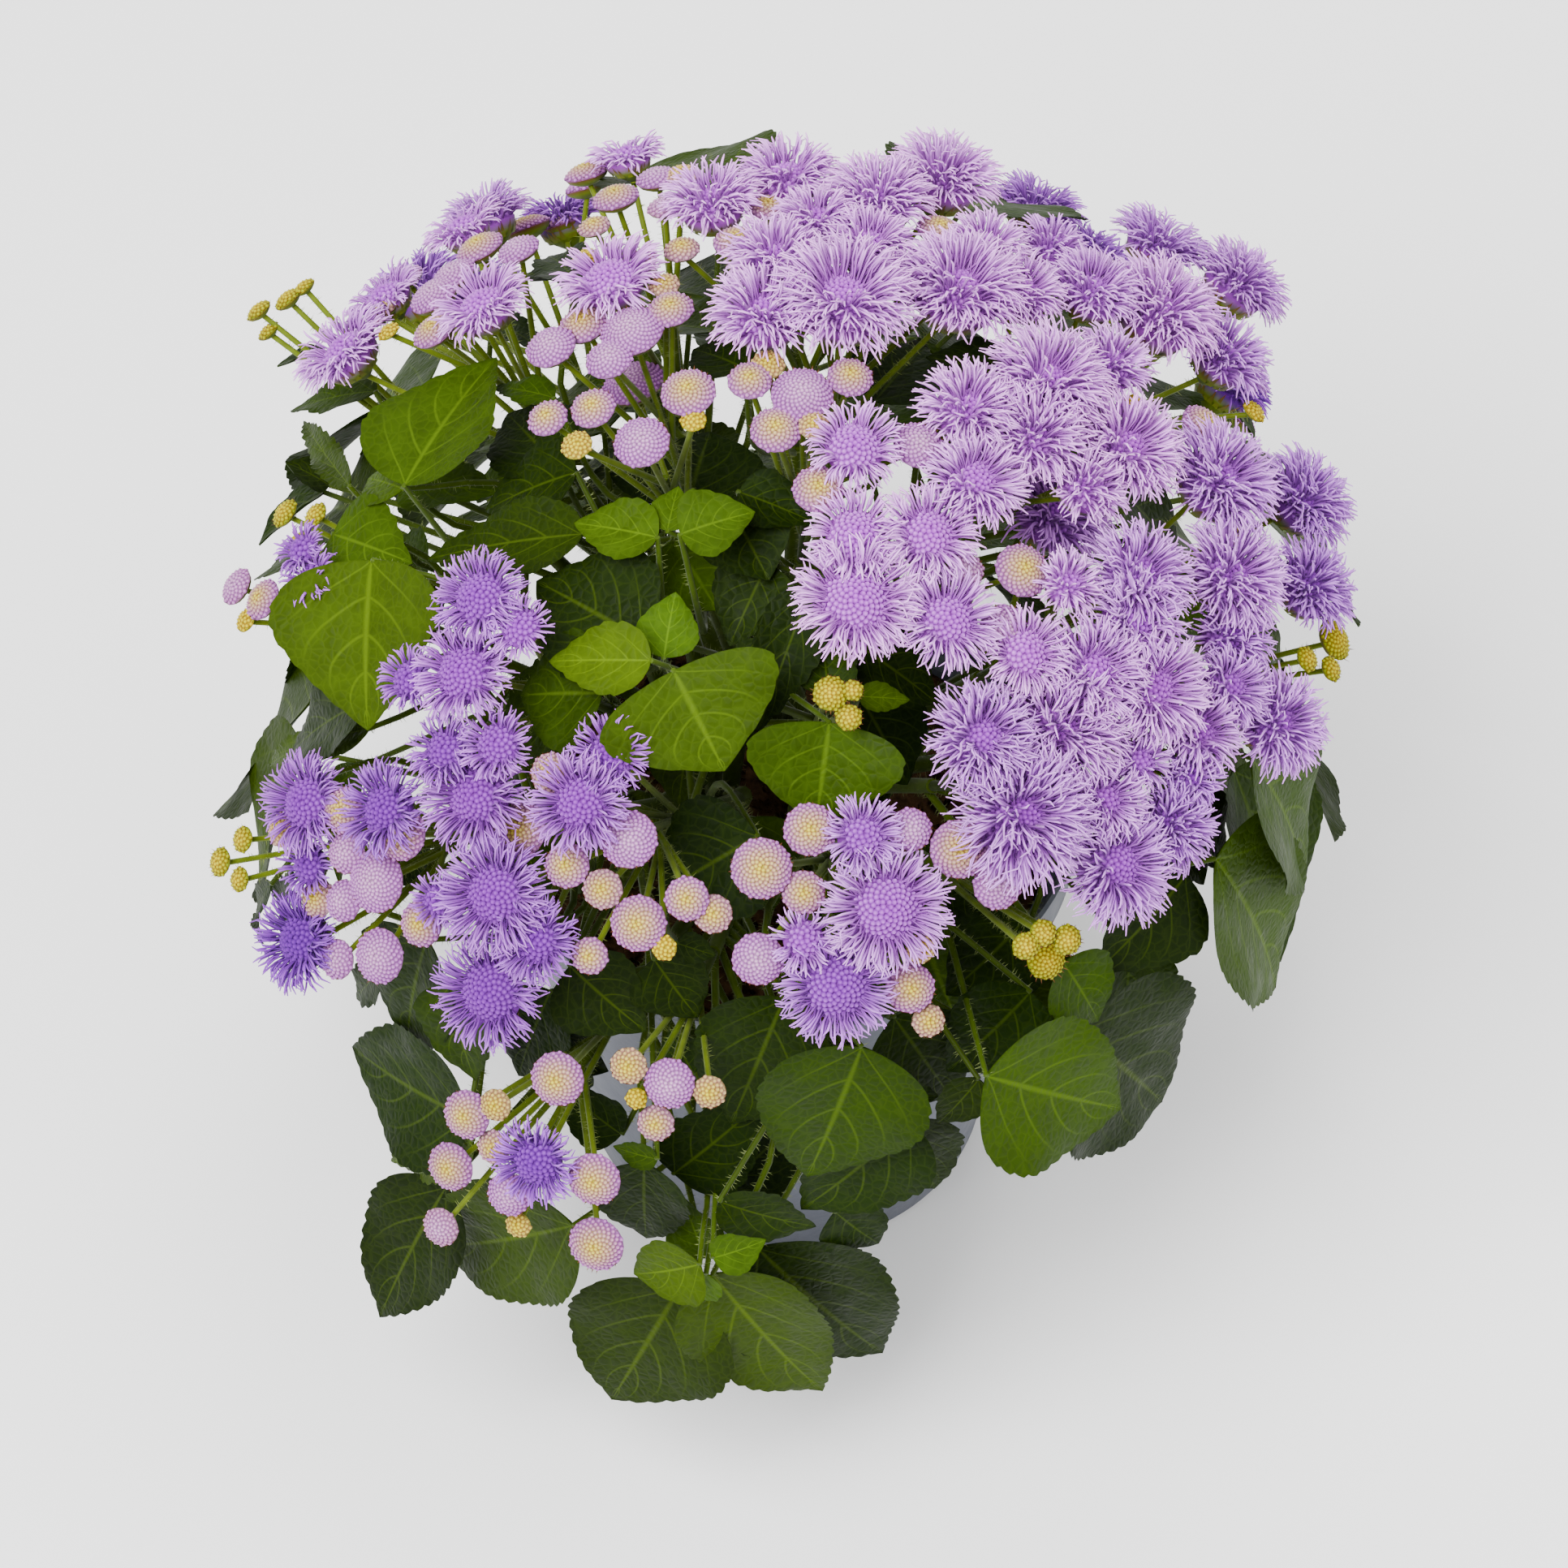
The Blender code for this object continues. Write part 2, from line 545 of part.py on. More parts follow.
class Plant:
    """Where everything grows, worked out piece by piece so that nothing crosses."""

    def __init__(self):
        self.placed = []
        self.grown = {}
        self.tips = {}
        self.forks = {}
        self.taken = set()
        self.missed = []

    def add(self, owner, shape, **parts):
        """Keep a shape to be fused to its owner, and its parts to be tested against."""
        self.grown.setdefault(owner, []).append(shape)
        for part, outline in parts.items():
            self.placed.append(as_piece(owner, part, outline))

    def clear(self, owner, strict, *shapes):
        """True if all the shapes fit among what is placed."""
        return all(is_clear(shape, owner, self.placed, strict) for shape in shapes)


def stem_root(index):
    """Where a main stem stands on the soil."""
    angle = math.radians(210.0 + 360.0 * index / STEM_COUNT)
    return Vector((math.cos(angle), math.sin(angle), 0.0)) * STEM_CIRCLE


def far_rows(angle, height, rng):
    """Heads for a spray on the far side: kind, place and width."""
    rows = []
    for k in range(FAR_HEADS):
        turn = math.radians(angle + rng.uniform(-16.0, 16.0))
        lift = math.radians(height + rng.uniform(-14.0, 14.0))
        out = Vector((math.cos(turn) * math.cos(lift), math.sin(turn) * math.cos(lift), math.sin(lift)))
        place = Vector((out.x * DOME_RADIUS, out.y * DOME_RADIUS, DOME_BASE + out.z * DOME_RISE))
        wide = rng.uniform(12.0, 15.0) if k % 2 == 0 else rng.uniform(6.0, 8.0)
        rows.append(("open" if k % 2 == 0 else "bud", place, wide))
    return rows


def core_point():
    """The middle of the plant, from which the shoots spread."""
    return Vector((0.0, 0.0, FORK_HEIGHT))


def place_pot_space(plant):
    """Keep the plant out of the pot."""
    ends = [Vector((0.0, 0.0, -1.0)), Vector((0.0, 0.0, POT_HEIGHT + GAP))]
    outline = tube(ends, [1.03 * POT_BASE_RADIUS, 1.03 * POT_RIM_RADIUS], 16)
    plant.placed.append(as_piece("pot", "body", outline))


def trunk(index):
    """A main stem from the floor of its hole up to its fork."""
    root = stem_root(index)
    foot = Vector((root.x, root.y, HOLE_FLOOR + GAP))
    fork = Vector((root.x, root.y, FORK_HEIGHT - 4.0))
    return tube([foot, fork], [STEM_RADIUS, STEM_RADIUS * 0.9], 8)


def branch_routes(fork, start, way):
    """Ways from a fork to a shoot's foot: straight, or bent up, down or to a side."""
    last = [start - way * BRANCH_RUN, start - way * GAP]
    middle = fork.lerp(last[0], 0.5)
    level = (last[0] - fork).cross(Vector((0.0, 0.0, 1.0))).normalized()
    routes = [[fork, *last]]
    for reach in BRANCH_BENDS:
        routes.append([fork, middle + Vector((0.0, 0.0, reach)), *last])
        routes.append([fork, middle + level * reach, *last])
    return routes


def place_branch(plant, start, way):
    """A branch to one shoot, from the nearest main stem that reaches it clear."""
    order = sorted(range(STEM_COUNT), key=lambda k: (stem_root(k) * 4.0 - start).to_2d().length)
    for k in order:
        owner = f"stem_{k + 1}"
        fork = stem_root(k) + Vector((0.0, 0.0, FORK_HEIGHT - 6.0))
        for route in branch_routes(fork, start, way):
            branch = tube(route, [BRANCH_RADIUS] * len(route), 4)
            short = route[:-1] + [route[-1] - way * (2.0 * GAP)]
            if plant.clear(owner, False, tube(short, [BRANCH_RADIUS] * len(short), 4)):
                plant.add(owner, branch, stem=branch)
                return
    plant.missed.append(("branch", round(start.x), round(start.y), round(start.z)))


def place_branches(plant):
    """The main stems and their branches, each ending just short of its shoot."""
    for k in range(STEM_COUNT):
        plant.add(f"stem_{k + 1}", trunk(k), stem=trunk(k))
    for shoot, (start, end) in plant.tips.items():
        place_branch(plant, start, (end - start).normalized())


def place_shoots(plant, hubs):
    """A leafy shoot's stem toward each hub, ending a little short of it."""
    for name, hub in hubs.items():
        shoot = "shoot_" + name.split("_", 1)[1]
        start = core_point().lerp(hub, BRANCH_REACH)
        end = core_point().lerp(hub, SHOOT_TIP)
        plant.tips[shoot] = (start, end)
        stem = tube([start, end], [SHOOT_RADIUS, SHOOT_RADIUS * 0.85], 5)
        plant.add(shoot, stem, stem=stem)


def place_peduncle(plant, name, hub):
    """A spray's main stalk, from its shoot's tip past its hub."""
    start, end = plant.tips["shoot_" + name.split("_", 1)[1]]
    way = (hub - end).normalized()
    foot = end + way * GAP
    top = hub + way * PEDUNCLE_REACH
    stalk = tube([foot, top], [PEDUNCLE_RADIUS, PEDUNCLE_RADIUS * 0.9], 5)
    plant.add(name, stalk, stem=stalk)
    plant.forks[name] = (foot.lerp(top, 0.12), foot.lerp(top, 0.97))


def place_head(plant, owner, row, share, turn):
    """One head with its stalk, slid away from the viewer until it is clear."""
    kind, place, ray = row[:3]
    low, high = plant.forks[owner]
    foot = low.lerp(high, share)
    make = open_head if kind == "open" else bud
    for strict, size in ((True, 1.0), (True, 0.8), (False, 0.8)):
        wide = row[3] * size
        for step in range(SLIDES):
            spot = place + ray * (SLIDE_STEP * step)
            axis = head_axis(spot)
            neck = spot - axis * (0.25 * wide)
            body = make(neck - axis * 0.1, spot, axis, wide, turn)
            stalk = tube([foot, neck - axis * 0.6], [1.3 * RAY_RADIUS] * 2, 4)
            if plant.clear(owner, strict, body, stalk):
                plant.add(owner, make(foot, spot, axis, wide, turn), body=body, stalk=stalk)
                return
    plant.missed.append((owner, kind, round(place.x), round(place.z)))


def seen_rows(rows):
    """Place, line of sight and size of each head that the view shows."""
    found = []
    for row in rows:
        place = on_dome(row.across, row.up, 0.0)
        found.append((row.kind, place, sight(row.across, row.up), row.wide))
    return found


def place_heads(plant, owner, rows, rng):
    """All the heads of a spray or of a shoot's tip, with their stalks spaced along it."""
    for k, row in enumerate(rows):
        place_head(plant, owner, row, (k + 0.5) / len(rows), rng.uniform(0.0, 1.0))


def feet(plant, base, limit):
    """Places on the shoots' stems where a leaf's stalk may start, nearest first."""
    found = []
    for shoot, (start, end) in plant.tips.items():
        for share in FOOT_SHARES:
            if (shoot, share) not in plant.taken:
                foot = start.lerp(end, share)
                found.append(((foot - base).length, shoot, share, foot))
    found.sort(key=lambda item: item[0])
    return found[:limit]


def petioles(base, tip, foot):
    """Routes for a leaf's stalk from a foot on a stem: straight, or bent to a side."""
    side = (tip - base).cross(base - foot)
    side = side.normalized() if side.length > 0.01 else Vector((1.0, 0.0, 0.0))
    middle = foot.lerp(base, 0.55) - (tip - base).normalized() * 2.0
    return [[foot, base]] + [[foot, middle + side * bend, base] for bend in PETIOLE_BENDS]


def try_leaf(plant, low, far, wide, strict):
    """Fit a leaf's blade and stalk between two points, on the nearest stem it can reach."""
    facing = dome_normal(low.lerp(far, 0.5)) + Vector((0.0, 0.0, 0.35))
    blade = leaf([low - (far - low).normalized() * 0.3, low], far, facing, wide)
    if not plant.clear("", True, blade):
        return False
    for _, shoot, share, foot in feet(plant, low, FEET_TRIED):
        for route in petioles(low, far, foot):
            ends = route[:-1] + [low.lerp(route[-2], 0.05)]
            stalk = tube(ends, [1.3 * PETIOLE_RADIUS] * len(ends), 4)
            if plant.clear(shoot, strict, stalk):
                plant.add(shoot, leaf(route, far, facing, wide), body=blade, stalk=stalk)
                plant.taken.add((shoot, share))
                return True
    return False


def place_leaf(plant, base, tip, wide, rays):
    """One leaf, slid away from the viewer until it is clear."""
    for strict, size in ((True, 1.0), (True, 0.75), (False, 0.75)):
        for step in range(SLIDES):
            low = base + rays[0] * (SLIDE_STEP * step)
            far = low.lerp(tip + rays[1] * (SLIDE_STEP * step), size)
            if try_leaf(plant, low, far, wide * size, strict):
                return
    plant.missed.append(("leaf", round(base.x), round(base.y), round(base.z)))


def place_seen_leaves(plant, rows):
    """The leaves that the view shows, each on its line of sight."""
    for row in rows:
        base = on_dome(row.across, row.up, row.depth)
        tip = on_dome(row.tip_across, row.tip_up, row.depth)
        rays = (sight(row.across, row.up), sight(row.tip_across, row.tip_up))
        place_leaf(plant, base, tip, row.wide, rays)


def far_leaves(rng):
    """Leaves in rings round the far side: base, tip and width."""
    found = []
    for height, count, length, wide in FAR_RINGS:
        for k in range(count):
            turn = math.radians(8.0 + 164.0 * (k + rng.uniform(0.2, 0.8)) / count)
            lift = math.radians(height)
            out = Vector((math.cos(turn) * math.cos(lift), math.sin(turn) * math.cos(lift), 0.0))
            rise = DOME_BASE + math.sin(lift) * DOME_RISE
            base = out * (DOME_RADIUS - 14.0) + Vector((0.0, 0.0, rise))
            fall = Vector((0.0, 0.0, -1.0 + 0.8 * math.sin(lift)))
            outward = Vector((math.cos(turn), math.sin(turn), 0.0))
            swing = frame_along(outward)[0] * rng.uniform(-0.6, 0.6)
            tip = base + (outward * 0.5 + fall * 0.8 + swing).normalized() * length
            found.append((base, tip, wide))
    return found


def inner_leaves(rng):
    """Leaves in spirals from the dome's top to its foot: base, tip and width."""
    found = []
    for count, depth, length, wide in INNER_LEAVES:
        for k in range(count):
            lift = math.asin(0.95 * (1.0 - (k + 0.5) / count))
            turn = k * math.radians(137.5)
            outward = Vector((math.cos(turn), math.sin(turn), 0.0))
            rise = DOME_BASE + math.sin(lift) * (DOME_RISE - depth)
            base = outward * (math.cos(lift) * (DOME_RADIUS - depth)) + Vector((0.0, 0.0, rise))
            fall = Vector((0.0, 0.0, -0.75 * math.cos(lift)))
            swing = frame_along(outward)[0] * rng.uniform(-0.7, 0.7)
            way = outward * (0.3 + 0.7 * math.sin(lift)) + fall + swing
            found.append((base, base + way.normalized() * length, wide))
    return found


def grow():
    """Place every piece of the plant above its main stems."""
    rng = random.Random(SEED)
    plant = Plant()
    groups = {name: seen_rows(rows) for name, rows in {**SPRAYS, **YOUNG}.items()}
    for name, (angle, height) in FAR_SPRAYS.items():
        rows = far_rows(angle, height, rng)
        groups[name] = [(kind, place, -dome_normal(place), wide) for kind, place, wide in rows]
    hubs = {}
    for name, rows in groups.items():
        middle = sum((row[1] for row in rows), Vector()) / len(rows)
        hubs[name] = middle - dome_normal(middle) * HUB_DEPTH
        hubs[name].z = max(hubs[name].z, HUB_LOWEST)
    place_shoots(plant, hubs)
    place_branches(plant)
    place_pot_space(plant)
    for name, hub in hubs.items():
        if name not in YOUNG:
            place_peduncle(plant, name, hub)
    place_seen_leaves(plant, [row for row in LEAVES if row.depth <= FRONT_DEPTH])
    for name, rows in groups.items():
        owner = name
        if name in YOUNG:
            owner = "shoot_" + name.split("_", 1)[1]
            start, end = plant.tips[owner]
            plant.forks[owner] = (start.lerp(end, 0.75), start.lerp(end, 0.97))
        place_heads(plant, owner, rows, rng)
    place_seen_leaves(plant, [row for row in LEAVES if row.depth > FRONT_DEPTH])
    for base, tip, wide in far_leaves(rng) + inner_leaves(rng):
        inward = -dome_normal(base)
        place_leaf(plant, base, tip, wide, (inward, inward))
    return plant


def mesh_object(name, verts, faces):
    """A mesh object from points in millimetres, with its faces turned outward."""
    mesh = bpy.data.meshes.new(name)
    work = bmesh.new()
    made = [work.verts.new(v * MM) for v in verts]
    for face in faces:
        work.faces.new([made[i] for i in face])
    bmesh.ops.recalc_face_normals(work, faces=work.faces)
    work.to_mesh(mesh)
    work.free()
    obj = bpy.data.objects.new(name, mesh)
    bpy.context.scene.collection.objects.link(obj)
    return obj


def bake(obj):
    """Turn an object's modifiers into plain mesh."""
    graph = bpy.context.evaluated_depsgraph_get()
    mesh = bpy.data.meshes.new_from_object(obj.evaluated_get(graph))
    obj.modifiers.clear()
    obj.data = mesh


def combine(obj, others, operation):
    """Join other objects to one, or cut them from it, and remove them."""
    group = bpy.data.collections.new("tools")
    bpy.context.scene.collection.children.link(group)
    for other in others:
        bpy.context.scene.collection.objects.unlink(other)
        group.objects.link(other)
    change = obj.modifiers.new("combine", "BOOLEAN")
    change.operation = operation
    change.operand_type = "COLLECTION"
    change.collection = group
    change.solver = "MANIFOLD"
    bpy.context.view_layer.update()
    bake(obj)
    for other in list(group.objects):
        bpy.data.objects.remove(other)
    bpy.data.collections.remove(group)


def keep_largest(obj):
    """Keep the largest connected body of a mesh."""
    work = bmesh.new()
    work.from_mesh(obj.data)
    left = set(work.verts)
    bodies = []
    while left:
        body = {left.pop()}
        front = list(body)
        while front:
            for e in front.pop().link_edges:
                for v in e.verts:
                    if v in left:
                        left.remove(v)
                        body.add(v)
                        front.append(v)
        bodies.append(body)
    bodies.sort(key=len)
    for body in bodies[:-1]:
        bmesh.ops.delete(work, geom=list(body), context="VERTS")
    work.to_mesh(obj.data)
    work.free()


def weld(obj):
    """Merge the crowded points round joints, where the mesh stays closed and unpinched."""
    for reach in WELDS:
        work = bmesh.new()
        work.from_mesh(obj.data)
        bmesh.ops.triangulate(work, faces=work.faces)
        bmesh.ops.dissolve_degenerate(work, dist=reach * MM, edges=work.edges)
        bmesh.ops.triangulate(work, faces=work.faces)
        closed = all(e.is_manifold for e in work.edges) and all(v.is_manifold for v in work.verts)
        if closed:
            work.to_mesh(obj.data)
        work.free()
        if closed:
            return


def paint(obj, name, colour, roughness):
    """Give an object a plain material of its own."""
    material = bpy.data.materials.new(name)
    material.use_nodes = True
    shader = material.node_tree.nodes["Principled BSDF"]
    shader.inputs["Base Color"].default_value = (*colour, 1.0)
    shader.inputs["Roughness"].default_value = roughness
    shader.inputs["Metallic"].default_value = 0.0
    obj.data.materials.clear()
    obj.data.materials.append(material)


def turned(name, profile, steps):
    """A solid of revolution about the upright axis, from a profile of radius and height."""
    mesh = bpy.data.meshes.new(name)
    work = bmesh.new()
    made = [work.verts.new((radius * MM, 0.0, height * MM)) for radius, height in profile]
    for a, b in zip(made, made[1:]):
        work.edges.new((a, b))
    work.to_mesh(mesh)
    work.free()
    obj = bpy.data.objects.new(name, mesh)
    bpy.context.scene.collection.objects.link(obj)
    screw = obj.modifiers.new("turn", "SCREW")
    screw.axis = "Z"
    screw.steps = steps
    screw.render_steps = steps
    screw.use_merge_vertices = True
    screw.merge_threshold = 0.0001
    bpy.context.view_layer.update()
    bake(obj)
    return obj


def upright_drill(name, place, radius, low, high):
    """A cylinder that cuts an upright hole."""
    points = [Vector((place.x, place.y, low)), Vector((place.x, place.y, high))]
    return mesh_object(name, *tube(points, [radius, radius], 8))


def inner_radius(height):
    """The pot's inner radius at a height."""
    share = height / (POT_HEIGHT - POT_LIP_DEPTH)
    return POT_BASE_RADIUS + (POT_SHOULDER_RADIUS - POT_BASE_RADIUS) * share - POT_WALL


def make_pot():
    """The nursery pot: a tapered wall, a lip round the rim and holes through the floor."""
    lip_low = POT_HEIGHT - POT_LIP_DEPTH
    inside_rim = POT_RIM_RADIUS - POT_WALL
    profile = [
        (0.0, POT_FLOOR),
        (inner_radius(POT_FLOOR), POT_FLOOR),
        (inner_radius(lip_low), lip_low),
        (inside_rim - 0.6, lip_low + POT_LIP_STEP),
        (inside_rim, POT_HEIGHT),
        (POT_RIM_RADIUS, POT_HEIGHT),
        (POT_RIM_RADIUS - 0.6, lip_low),
        (POT_SHOULDER_RADIUS, lip_low),
        (POT_BASE_RADIUS, 0.0),
        (0.0, 0.0),
    ]
    pot = turned("pot", profile, POT_STEPS)
    drills = []
    for k in range(DRAIN_COUNT):
        angle = 2.0 * math.pi * k / DRAIN_COUNT
        place = Vector((math.cos(angle), math.sin(angle), 0.0)) * DRAIN_CIRCLE
        drills.append(upright_drill("drill", place, DRAIN_RADIUS, -2.0, POT_FLOOR + 2.0))
    combine(pot, drills, "DIFFERENCE")
    paint(pot, "pot", (0.13, 0.13, 0.15), 0.45)


def make_soil():
    """The soil that fills the pot, with a plain hole for each main stem."""
    low = POT_FLOOR + GAP
    profile = [
        (0.0, SOIL_TOP + SOIL_CROWN),
        (18.0, SOIL_TOP + SOIL_CROWN),
        (33.0, SOIL_TOP + 0.4 * SOIL_CROWN),
        (inner_radius(SOIL_TOP) - GAP, SOIL_TOP),
        (inner_radius(low) - GAP, low),
        (0.0, low),
    ]
    soil = turned("soil", profile, POT_STEPS)
    drills = []
    for k in range(STEM_COUNT):
        root = stem_root(k)
        drills.append(upright_drill("drill", root, STEM_RADIUS + GAP, HOLE_FLOOR, SOIL_TOP + 20.0))
    combine(soil, drills, "DIFFERENCE")
    paint(soil, "soil", (0.035, 0.022, 0.014), 0.95)


def make_growth(plant):
    """One fused node for each main stem, leafy shoot and flower spray."""
    for owner, shapes in plant.grown.items():
        objects = [mesh_object("growth", verts, faces) for verts, faces in shapes]
        main = objects[0]
        if len(objects) > 1:
            combine(main, objects[1:], "UNION")
            keep_largest(main)
            weld(main)
        main.name = owner
        if owner.startswith("spray"):
            paint(main, owner, (0.42, 0.26, 0.68), 0.7)
        else:
            paint(main, owner, (0.09, 0.17, 0.02), 0.55)


def main():
    for obj in list(bpy.data.objects):
        bpy.data.objects.remove(obj)
    plant = grow()
    make_pot()
    make_soil()
    make_growth(plant)


main()
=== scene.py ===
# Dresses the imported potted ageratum: toothed and veined leaves, fluffy flower heads, hairy
# stalks, the pot and its soil. Sizes are in millimetres until a mesh is made.
# The tables and the placing are the ones that the solids come from, so each fine piece
# grows where its solid stands.

import random
from collections import defaultdict, namedtuple
from math import asin, cos, pi, radians, sin, sqrt

import bpy
import bmesh
import numpy as np
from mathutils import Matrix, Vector
from mathutils.bvhtree import BVHTree


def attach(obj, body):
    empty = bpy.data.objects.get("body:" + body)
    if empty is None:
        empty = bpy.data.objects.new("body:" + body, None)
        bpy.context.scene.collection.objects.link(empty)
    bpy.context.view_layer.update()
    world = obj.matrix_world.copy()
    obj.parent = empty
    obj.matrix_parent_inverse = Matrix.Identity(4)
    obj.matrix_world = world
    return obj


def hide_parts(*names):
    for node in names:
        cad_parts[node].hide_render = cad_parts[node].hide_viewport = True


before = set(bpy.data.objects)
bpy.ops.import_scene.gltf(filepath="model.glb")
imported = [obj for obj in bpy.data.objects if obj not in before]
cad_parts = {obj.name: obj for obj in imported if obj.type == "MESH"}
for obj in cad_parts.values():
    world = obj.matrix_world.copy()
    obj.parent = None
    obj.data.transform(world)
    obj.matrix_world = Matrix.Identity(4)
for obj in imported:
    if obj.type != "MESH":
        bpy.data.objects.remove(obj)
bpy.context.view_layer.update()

MM = 0.001
SEED = 7
GAP = 0.3
TEST_GROWTH = 1.3
UP = Vector((0.0, 0.0, 1.0))

# Pot
POT_HEIGHT = 76.0
POT_RIM_RADIUS = 46.0
POT_LIP_DEPTH = 9.0
POT_LIP_STEP = 1.5
POT_SHOULDER_RADIUS = 42.5
POT_BASE_RADIUS = 32.0
POT_WALL = 1.5
POT_FLOOR = 2.0
DRAIN_RADIUS = 3.5
DRAIN_CIRCLE = 21.0
DRAIN_COUNT = 3
POT_ROOM = 1.03

# Soil
SOIL_TOP = 66.0
SOIL_CROWN = 3.0
SOIL_SIDES = 90
HOLE_FLOOR = 44.0
CRUMBS = 500
CRUMB_FACES = [(0, 1, 2), (0, 2, 3), (0, 3, 4), (5, 2, 1), (5, 3, 2), (5, 4, 3), (0, 4, 1), (5, 1, 4)]

# Main stems
STEM_CIRCLE = 11.0
STEM_COUNT = 3
STEM_RADIUS = 3.0
STEM_TAPER = 0.9
FORK_HEIGHT = 78.0
TRUNK_TOP = 74.0
BRANCH_FOOT = 72.0
BRANCH_RADIUS = 1.5
BRANCH_REACH = 0.42
BRANCH_BENDS = (3.0, -3.0, 6.0, -6.0, 9.0, -9.0, 12.0)
BRANCH_RUN = 3.0

# Dome of foliage and flowers
DOME_BASE = 80.0
DOME_RADIUS = 93.0
DOME_RISE = 102.0
SKIRT_FLOOR = 41.0
SKIRT_FADE = 20.0
CORE = Vector((0.0, 0.0, FORK_HEIGHT))

# Viewer
VIEW_HEIGHT = 50.0
VIEW_AIM = Vector((0.0, 0.0, 78.0))
VIEW_DISTANCE = 900.0
SIGHT_STEPS = 400
TILT = radians(VIEW_HEIGHT)
ACROSS = Vector((1.0, 0.0, 0.0))
UPWARD = Vector((0.0, sin(TILT), cos(TILT)))
EYE = VIEW_AIM - Vector((0.0, cos(TILT), -sin(TILT))) * VIEW_DISTANCE

# Shoots, stalks and the tries for a clear place
HUB_DEPTH = 27.0
HUB_LOWEST = 86.0
SHOOT_TIP = 0.84
SHOOT_RADIUS = 1.3
SHOOT_TAPER = 0.85
PEDUNCLE_RADIUS = 1.0
RAY_RADIUS = 0.65
PETIOLE_RADIUS = 0.65
PEDUNCLE_REACH = 9.0
FOOT_SHARES = (0.96, 0.88, 0.8, 0.7, 0.6, 0.5, 0.4, 0.3, 0.2)
PETIOLE_BENDS = (6.0, -6.0, 12.0, -12.0)
FEET_TRIED = 40
SLIDE_STEP = 1.5
SLIDES = 24
SMALL_HEAD = 0.8
SMALL_LEAF = 0.75

# Rings of the solid heads, as shares of a head's radius: radius, height and crimp
BUD_RINGS = ((0.0, -0.62, 0.0), (1.0, -0.08, 0.05), (0.62, 0.30, -0.07), (0.0, 0.40, 0.0))
OPEN_RINGS = ((0.0, -0.50), (0.60, -0.20), (0.66, 0.06), (0.36, 0.30), (0.0, 0.38))
OPEN_SHOULDER = (0.52, 0.18)
SPIKE_RISE = 0.10
NECK_SHARE = 0.25

# Widths above which a solid head has a shoulder, and more sides
BUD_SHOULDERED = 5.7
BUD_ROUND = 7.3
OPEN_SHOULDERED = 16.5
OPEN_ROUND = 13.5

# Leaves no deeper than this are placed before the flower heads and so keep their places
FRONT_DEPTH = 5

# Fine leaves
LEAF_THICKNESS = 1.5
BLADE_THICKNESS = 0.3
LEAF_SAG = 0.14
SOLID_PEAK = 0.4957
BLADE_PEAK = 0.3820
LEAF_FOLD = 0.22
LEAF_COLUMNS = 13
LEAF_GROWTH = 1.2
DARK_GROWTH = 0.14
LEAF_REACH = 1.03
LEAF_PUFF = 0.0055
LEAF_WAVE = 0.028
TOOTH_STEP = 2.5
TOOTH_ROWS = 4
TOOTH_DEPTH = 0.55
VEIN_SWEEP = 0.5
VEIN_CURVE = 1.3
VEIN_STEP = 0.22
NET_SCALE = 700.0
# Heights over which lower leaves darken, and their darkest share: partly older leaves, partly painted shade
SHADE_HEIGHT_FLOOR = 15.0
SHADE_HEIGHT_SPAN = 85.0
LOW_SHADE = 0.55

# Fine stalks and heads, the cups as shares of a head's radius: radius and height
HAIR_STEP = 0.3
HAIR_LENGTH = 1.0
HAIR_RADIUS = 0.05
STALK_START = 0.55
STALK_END = 0.42
FINE_NECK = 0.28
STYLES = 4.2
FULL_BLOOM = (0.8, 1.0)
PART_BLOOM = (0.35, 0.62)
HUE_FLOOR = 90.0
HUE_SPAN = 80.0
STYLE_GROWTH = 1.14
FULL_GROWTH = 1.27
# Rings of a style: share along it, radius, and paleness, which also darkens the feet as painted shade deep
# in the head
STYLE_RINGS = ((0.0, 0.15, 0.0), (0.35, 0.18, 0.3), (0.72, 0.2, 0.75), (1.0, 0.1, 1.0))
BUD_CUP = ((0.98, -0.08), (0.86, -0.3), (0.5, -0.5), (0.1, -0.62))
OPEN_CUP = ((0.1, -0.5), (0.5, -0.2), (0.56, 0.0), (0.52, 0.05))
DISC_SHARE = 0.52
BUD_PACKING = 9.0
DISC_PACKING = 5.6
FLORET_SIDES = 6
GOLDEN_TURN = radians(137.508)
LEAF_TURN = radians(137.5)

# Sprays in full bloom, and sprays on the shaded side
FULL_SPRAYS = tuple(
    "spray_" + place
    for place in ("top_middle", "upper_full", "top_right", "right_high", "right_top", "right")
    + ("right_edge", "low_right", "far_left", "far_right")
)
SHADED_SPRAYS = tuple("spray_" + p for p in ("left_high", "left_middle", "middle_left", "left", "left_edge"))

# Camera, light and finish
SENSOR = 36.0
VIEW_HALF = 120.75
POT_SIDES = 96
GRAIN_SCALE = 420.0
WORLD_LIGHT = 0.8
LIGHTS = (
    ("key", (-0.5, -0.7, 1.3), 0.9, 52.0),
    ("fill", (0.9, -0.4, 0.9), 1.0, 10.0),
    ("back", (0.1, 1.0, 1.1), 0.9, 12.0),
)


def linear(red, green, blue):
    """A colour as light, from its screen values of 0 to 255."""
    return np.array([red / 255.0, green / 255.0, blue / 255.0]) ** 2.2


